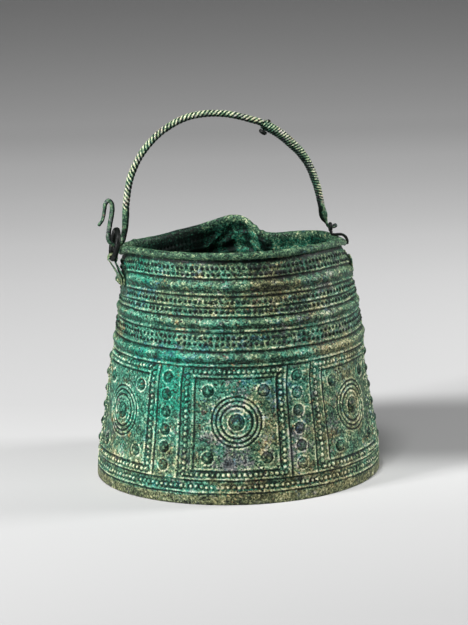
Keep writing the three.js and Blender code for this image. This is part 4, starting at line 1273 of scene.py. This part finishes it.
class Graph:
    """Builds one material's nodes."""

    def __init__(self, name):
        self.material = bpy.data.materials.new(name)
        self.material.use_nodes = True
        self.tree = self.material.node_tree
        self.tree.nodes.clear()
        self.place = self.add("ShaderNodeTexCoord").outputs["Object"]

    def add(self, kind, inputs=(), **settings):
        """A node with its inputs set to values or to other nodes' outputs."""
        node = self.tree.nodes.new(kind)
        for key, value in settings.items():
            setattr(node, key, value)
        for key, value in dict(inputs).items():
            if isinstance(value, bpy.types.NodeSocket):
                self.tree.links.new(value, node.inputs[key])
            else:
                node.inputs[key].default_value = value
        return node

    def math(self, operation, *values):
        return self.add("ShaderNodeMath", enumerate(values), operation=operation).outputs[0]

    def moved(self, shift):
        away = (shift, 1.7 * shift, -shift)
        return self.add("ShaderNodeVectorMath", {0: self.place, 1: away}, operation="ADD").outputs[0]

    def noise(self, scale, detail, shift, distortion=0.0):
        inputs = {"Vector": self.moved(shift), "Scale": scale, "Detail": detail}
        inputs |= {"Roughness": NOISE_ROUGHNESS, "Distortion": distortion}
        return self.add("ShaderNodeTexNoise", inputs).outputs["Fac"]

    def grains(self, scale, shift=1.0):
        """Three values from 0 to 1 for each grain of a crust."""
        cells = self.add("ShaderNodeTexVoronoi", {"Vector": self.moved(shift), "Scale": scale})
        return tuple(self.add("ShaderNodeSeparateColor", {0: cells.outputs["Color"]}).outputs)

    def span(self, value, low, high, start=0.0, end=1.0):
        inputs = {"Value": value, "From Min": low, "From Max": high, "To Min": start, "To Max": end}
        node = self.add("ShaderNodeMapRange", inputs, interpolation_type="SMOOTHSTEP")
        return node.outputs["Result"]

    def total(self, offset, *terms):
        """offset + the sum of weight x (value - middle), for terms (value, weight, middle)."""
        result = offset
        for value, weight, middle in terms:
            if isinstance(result, bpy.types.NodeSocket):
                shifted = self.math("ADD", result, -weight * middle)
            else:
                shifted = result - weight * middle
            result = self.math("MULTIPLY_ADD", value, weight, shifted)
        return result

    def ramp(self, value, stops):
        node = self.add("ShaderNodeValToRGB", {0: value})
        elements = node.color_ramp.elements
        while len(elements) < len(stops):
            elements.new(0.5)
        for element, (position, tint) in zip(elements, stops):
            element.position = position
            element.color = colour(*tint)
        return node.outputs[0]

    def mix(self, factor, first, second):
        node = self.add("ShaderNodeMix", {"Factor": factor, 6: first, 7: second}, data_type="RGBA")
        return node.outputs[2]

    def attribute(self, name):
        return self.add("ShaderNodeAttribute", attribute_name=name).outputs["Fac"]

    def axis(self, letter):
        return self.add("ShaderNodeSeparateXYZ", {0: self.place}).outputs[letter]

    def bump(self, height, strength, distance, **below):
        inputs = {"Height": height, "Strength": strength, "Distance": distance, **below}
        return self.add("ShaderNodeBump", inputs).outputs["Normal"]

    def finish(self, shader):
        self.add("ShaderNodeOutputMaterial", {"Surface": shader.outputs[0]})
        return self.material


GRAIN_SCALE = 780
BIG_GRAIN_SCALE = 420
FINE_NOISE_SCALE = 620
MEDIUM_NOISE_SCALE = 90
CLUSTER_SCALE = 45
EDGE_SCALE = 240
PATTERN_WEIGHTS = (0.42, 0.2, 1.32, 0.85)
TONE_WEIGHT = 0.58
ZONE_SPECKLE = 0.3
WALL_LIGHTNESS = 0.45
BROAD_BUMP = 0.0012
FINE_BUMP = 0.0004
# Heights in metres over which the foot's edge turns from green to olive
OLIVE_FOOT = (0.0105, 0.006)


class Crust:
    """A corroded bronze skin of small grains of several colours."""

    def __init__(self, name, lightness, contrast):
        graph = self.graph = Graph(name)
        self.value, self.hue, self.pick = graph.grains(GRAIN_SCALE)
        self.big_value, self.big_hue, self.big_pick = graph.grains(BIG_GRAIN_SCALE, 2.3)
        self.fine = graph.noise(FINE_NOISE_SCALE, 2, 5.3)
        self.medium = graph.noise(MEDIUM_NOISE_SCALE, 4, 7.1, 0.3)
        patterns = (self.value, self.big_value, self.fine, self.medium)
        terms = [(value, weight * contrast, 0.5) for value, weight in zip(patterns, PATTERN_WEIGHTS)]
        self.light = graph.total(lightness, *terms, (graph.attribute("tone"), TONE_WEIGHT, 0.0))
        self.base = None

    def start(self, stops):
        self.base = self.graph.ramp(self.light, stops)

    def zone(self, stops, where, speckle, low, high, most):
        """Lets another colour in where a value is high, grain by grain at its edges."""
        graph = self.graph
        value = graph.total(where, (self.hue, speckle, 0.5), (self.big_hue, speckle / 2, 0.5))
        factor = graph.span(value, low, high, 0, most)
        self.base = graph.mix(factor, self.base, graph.ramp(self.light, stops))

    def specks(self, stops, grain, low, high, most):
        """Lets another colour in on single grains, in clusters."""
        clusters = self.graph.span(self.graph.noise(CLUSTER_SCALE, 3, 30 * low), 0.48, 0.62)
        factor = self.graph.math("MULTIPLY", self.graph.span(grain, low, high, 0, most), clusters)
        self.base = self.graph.mix(factor, self.base, self.graph.ramp(self.light, stops))

    def pits(self, where, low, high):
        """Scattered small dark pits."""
        graph = self.graph
        factor = graph.math("MULTIPLY", graph.span(self.pick, low, high), where)
        self.base = graph.mix(factor, self.base, colour(*PIT_COLOUR))

    def finish(self, low_roughness=0.42, high_roughness=0.75, bump=0.5, metallic=0.0):
        graph = self.graph
        broad = graph.bump(self.medium, 0.35, BROAD_BUMP)
        grain = graph.total(0, (self.value, 0.5, 0), (self.fine, 1.0, 0))
        inputs = {
            "Base Color": self.base,
            "Roughness": graph.span(self.fine, 0.35, 0.65, low_roughness, high_roughness),
            "Metallic": metallic,
            "Specular IOR Level": SHINE,
            "Normal": graph.bump(grain, bump, FINE_BUMP, Normal=broad),
        }
        return graph.finish(graph.add("ShaderNodeBsdfPrincipled", inputs))


def wall_material():
    crust = Crust("wall_verdigris", WALL_LIGHTNESS, 1)
    graph = crust.graph
    inside = graph.attribute("inside")
    crust.light = graph.total(crust.light, (inside, -0.12, 0))
    crust.start(GREEN)
    edge = graph.noise(EDGE_SCALE, 3, 11, 0.4)
    zones = (
        # kind, colours, speckle, low, high, most
        ("turquoise", TURQUOISE, 0.5, 0.25, 0.85, 1.0),
        ("olive", OLIVE, 0.6, 0.35, 0.95, 0.85),
        ("mauve", MAUVE, 0.6, 0.4, 1.0, 0.85),
        ("jade", JADE, 0.5, 0.3, 0.85, 1.0),
        ("blue", BLUE, 0.6, 0.45, 1.0, 0.7),
        ("tan", TAN, 0.6, 0.45, 0.95, 0.85),
        ("dark", PITTED, 0.7, 0.45, 0.95, 0.9),
    )
    for kind, stops, speckle, low, high, most in zones:
        where = graph.total(graph.attribute(kind), (edge, 0.7, 0.5))
        crust.zone(stops, where, speckle, low, high, most)
    crust.zone(OLIVE, graph.span(graph.axis("Z"), *OLIVE_FOOT), 0.5, 0.3, 0.8, 0.7)
    outside = graph.total(1.0, (inside, -1.0, 0.0))
    crust.specks(TAN, graph.math("MULTIPLY", crust.hue, outside), 0.94, 0.98, 0.7)
    crust.specks(BLUE, graph.math("MULTIPLY", crust.big_hue, outside), 0.96, 0.99, 0.45)
    crust.specks(MAUVE, graph.math("MULTIPLY", crust.big_pick, outside), 0.9, 0.98, 0.6)
    crust.pits(graph.total(1.0, (inside, -0.8, 0)), 0.9, 0.97)
    return crust.finish()


def plain_material(name, lightness, contrast, first, zones, finish=()):
    """A crust of one colour with zones of others: colours, scale and shift of the noise, low, high, most."""
    crust = Crust(name, lightness, contrast)
    crust.start(first)
    for stops, scale, shift, *limits in zones:
        crust.zone(stops, crust.graph.noise(scale, 3, shift), ZONE_SPECKLE, *limits)
    return crust.finish(*finish)


HANDLE_ZONES = (
    (TURQUOISE, 40, 11, 0.56, 0.7, 0.6), (MAUVE, 60, 13, 0.5, 0.66, 0.8), (TAN, 70, 17, 0.64, 0.8, 0.5),
)
LUG_ZONES = ((TURQUOISE, 60, 11, 0.52, 0.66, 0.8), (OLIVE, 70, 13, 0.48, 0.62, 0.8))
DARK_ZONES = ((GREEN, 120, 11, 0.68, 0.8, 0.5),)
RIVET_ZONES = ((OLIVE, 90, 11, 0.5, 0.66, 0.7),)
BASE_ZONES = ((GREEN, 30, 11, 0.5, 0.66, 0.8),)


# Assembly

MATERIALS = {
    "wall": wall_material(),
    "handle": plain_material("handle_patina", 0.35, 0.85, GREEN, HANDLE_ZONES, (0.35, 0.6, 0.4, 0.1)),
    "dark": plain_material("dark_patina", 0.27, 0.6, BLACK, DARK_ZONES, (0.35, 0.6)),
    "rivet": plain_material("rivet_patina", 0.5, 1, GREEN, RIVET_ZONES),
    "base": plain_material("base_patina", 0.4, 1, OLIVE, BASE_ZONES),
    "lug": plain_material("lug_patina", 0.48, 1, GREEN, LUG_ZONES),
}


def settle(obj, body, nodes, material):
    """Gives a piece its finish and its body, and hides the nodes that it stands for."""
    coat(obj, MATERIALS[material])
    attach(obj, body)
    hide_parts(*nodes)


settle(build_wall(), "vessel", ["wall_sheet"], "wall")
settle(build_base(), "vessel", ["base_disc"], "base")
settle(build_main_rod(), "bail", ["handle_rod"], "handle")
settle(build_mend_rod(), "bail", ["handle_mend_rod"], "handle")
settle(build_link(), "bail", ["right_link"], "dark")
settle(build_ring(), "ring", ["left_ring"], "dark")
settle(
    forged("handle_mend_pin", "bail_pin_worn", PIN_FINISH, 101),
    "bail", ["handle_mend_pin"], "dark",
)
for side in ("left", "right"):
    lug = forged(f"{side}_lug", f"{side}_lug_worn", LUG_FINISH, 111)
    settle(lug, "vessel", [f"{side}_lug"], "lug")
    for number in range(1, 4):
        node = f"{side}_lug_rivet_{number}"
        rivet = forged(node, f"{node}_worn", RIVET_FINISH, 120 + number)
        settle(rivet, "vessel", [node], "rivet")
for number in range(1, 11):
    node = f"seam_rivet_{number:02d}"
    rivet = forged(node, f"{node}_worn", RIVET_FINISH, 130 + number)
    settle(rivet, "vessel", [node], "rivet")
coat(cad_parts["rim_wire"], MATERIALS["lug"])


# Camera and stage, in metres and degrees

CAMERA_PLACE = (-0.4366, -2.0541, 0.563)
CAMERA_AZIMUTH = -12
CAMERA_PITCH = 11.52
CAMERA_ROLL = -1.48
CAMERA_LENS = 145.9
CAMERA_SENSOR = 36
CAMERA_REACH = 50
FRAME_HEIGHT = 625
CAMERA_SHIFT_PIXELS = 0.47

# Greys of the paper by how far back they lie from the object
PAPER_NEAR = -0.5
PAPER_FAR = 3.5
PAPER_STOPS = (
    (-0.41, 180), (-0.16, 192), (-0.04, 203), (0.09, 201), (0.25, 200), (0.42, 206), (0.62, 214),
    (0.86, 222), (1.13, 218), (1.46, 206), (1.87, 190), (2.32, 168), (2.6, 150), (2.8, 136), (3.0, 120),
    (3.4, 92),
)
# How much the far paper glows, as greys, so that it fades as evenly as a lit backdrop
GLOW_STOPS = (
    (0.62, 0), (0.86, 31), (1.13, 81), (1.46, 105), (1.87, 119), (2.32, 115), (2.55, 99), (2.7, 84),
    (2.82, 71), (3.2, 40),
)

# A painted shadow: a darker band of paper beside and behind the object, under its shadow: where it starts
# and ends
PAINTED_SHADOW_ACROSS = (0.06, 0.12)
PAINTED_SHADOW_NEAR = (-0.04, 0.05)
PAINTED_SHADOW_FAR = (0.27, 0.18)
PAINTED_SHADOW_MOST = 0.58
PAINTED_SHADOW_GREY = 70

FLOOR_HALF_WIDTH = 12.0
FLOOR_FRONT = -12.0
SWEEP_START = 2.2
SWEEP_RADIUS = 1.2
SWEEP_STEPS = 24
BACKDROP_TOP = 6.0


def build_stage():
    """A floor that bends up into a backdrop, square to the camera."""
    turn = math.radians(CAMERA_AZIMUTH)
    profile = [(FLOOR_FRONT, 0.0)]
    profile += arc_points((SWEEP_START, SWEEP_RADIUS), SWEEP_RADIUS, -90, 0, SWEEP_STEPS)
    profile.append((SWEEP_START + SWEEP_RADIUS, BACKDROP_TOP))
    vertices = []
    for y, z in profile:
        for x in (-FLOOR_HALF_WIDTH, FLOOR_HALF_WIDTH):
            vertices.append(Matrix.Rotation(turn, 3, "Z") @ Vector((x, y, z)) / MM)
    faces = [(2 * i, 2 * i + 1, 2 * i + 3, 2 * i + 2) for i in range(len(profile) - 1)]
    stage = make_object("studio_sweep", vertices, faces)
    graph = Graph("studio_paper")
    x, y = graph.axis("X"), graph.axis("Y")
    depth = graph.total(0.0, (x, -math.sin(turn), 0.0), (y, math.cos(turn), 0.0))
    across = graph.total(0.0, (x, math.cos(turn), 0.0), (y, math.sin(turn), 0.0))
    along = graph.math("DIVIDE", graph.math("SUBTRACT", depth, PAPER_NEAR), PAPER_FAR - PAPER_NEAR)

    def greys(stops):
        shares = [((at - PAPER_NEAR) / (PAPER_FAR - PAPER_NEAR), (grey,) * 3) for at, grey in stops]
        return graph.ramp(along, shares)

    # Painted shadow on the paper beside and behind the object
    beside = graph.span(across, *PAINTED_SHADOW_ACROSS)
    behind = graph.math("MULTIPLY", graph.span(depth, *PAINTED_SHADOW_NEAR), graph.span(depth, *PAINTED_SHADOW_FAR))
    painted_shade = graph.math("MULTIPLY", graph.math("MULTIPLY", beside, behind), PAINTED_SHADOW_MOST)
    paper = graph.mix(painted_shade, greys(PAPER_STOPS), colour(PAINTED_SHADOW_GREY, PAINTED_SHADOW_GREY, PAINTED_SHADOW_GREY))
    diffuse = graph.add("ShaderNodeBsdfDiffuse", {"Color": paper})
    for_camera = graph.add("ShaderNodeLightPath").outputs["Is Camera Ray"]
    glow = graph.add("ShaderNodeEmission", {"Color": greys(GLOW_STOPS), "Strength": for_camera})
    both = graph.add("ShaderNodeAddShader", {0: diffuse.outputs[0], 1: glow.outputs[0]})
    coat(stage, graph.finish(both))


LIGHTS = (
    # name, place, width, height, watts
    ("left_key", (-1.6, -0.6, 0.95), 0.45, 0.45, 34),
    ("right_strip", (1.45, -0.15, 0.8), 0.4, 0.6, 19),
    ("overhead", (-0.45, -0.75, 2.05), 0.4, 0.4, 32),
)
LIGHTS_AIM = (0, 0, 0.12)
WORLD_STRENGTH = 0.08


def build_lights():
    world = bpy.data.worlds.new("studio")
    world.use_nodes = True
    background = world.node_tree.nodes["Background"]
    background.inputs["Color"].default_value = (1, 1, 1, 1)
    background.inputs["Strength"].default_value = WORLD_STRENGTH
    bpy.context.scene.world = world
    for name, place, width, height, power in LIGHTS:
        light = bpy.data.lights.new(name, "AREA")
        light.shape = "RECTANGLE"
        light.size = width
        light.size_y = height
        light.energy = power
        obj = placed(name, light)
        obj.location = place
        direction = Vector(LIGHTS_AIM) - Vector(place)
        obj.rotation_euler = direction.to_track_quat("-Z", "Y").to_euler()


def build_camera():
    camera = bpy.data.cameras.new("camera")
    camera.sensor_fit = "VERTICAL"
    camera.sensor_height = CAMERA_SENSOR
    camera.lens = CAMERA_LENS
    camera.shift_x = -CAMERA_SHIFT_PIXELS / FRAME_HEIGHT
    camera.clip_end = CAMERA_REACH
    obj = placed("camera", camera)
    azimuth = math.radians(CAMERA_AZIMUTH)
    pitch = math.radians(CAMERA_PITCH)
    back = Vector(
        (math.sin(azimuth) * math.cos(pitch), -math.cos(azimuth) * math.cos(pitch), math.sin(pitch))
    )
    turn = (-back).to_track_quat("-Z", "Y").to_matrix() @ Matrix.Rotation(math.radians(CAMERA_ROLL), 3, "Z")
    obj.matrix_world = Matrix.Translation(CAMERA_PLACE) @ turn.to_4x4()
    bpy.context.scene.camera = obj


build_stage()
build_lights()
build_camera()
bpy.context.scene.view_settings.view_transform = "Standard"
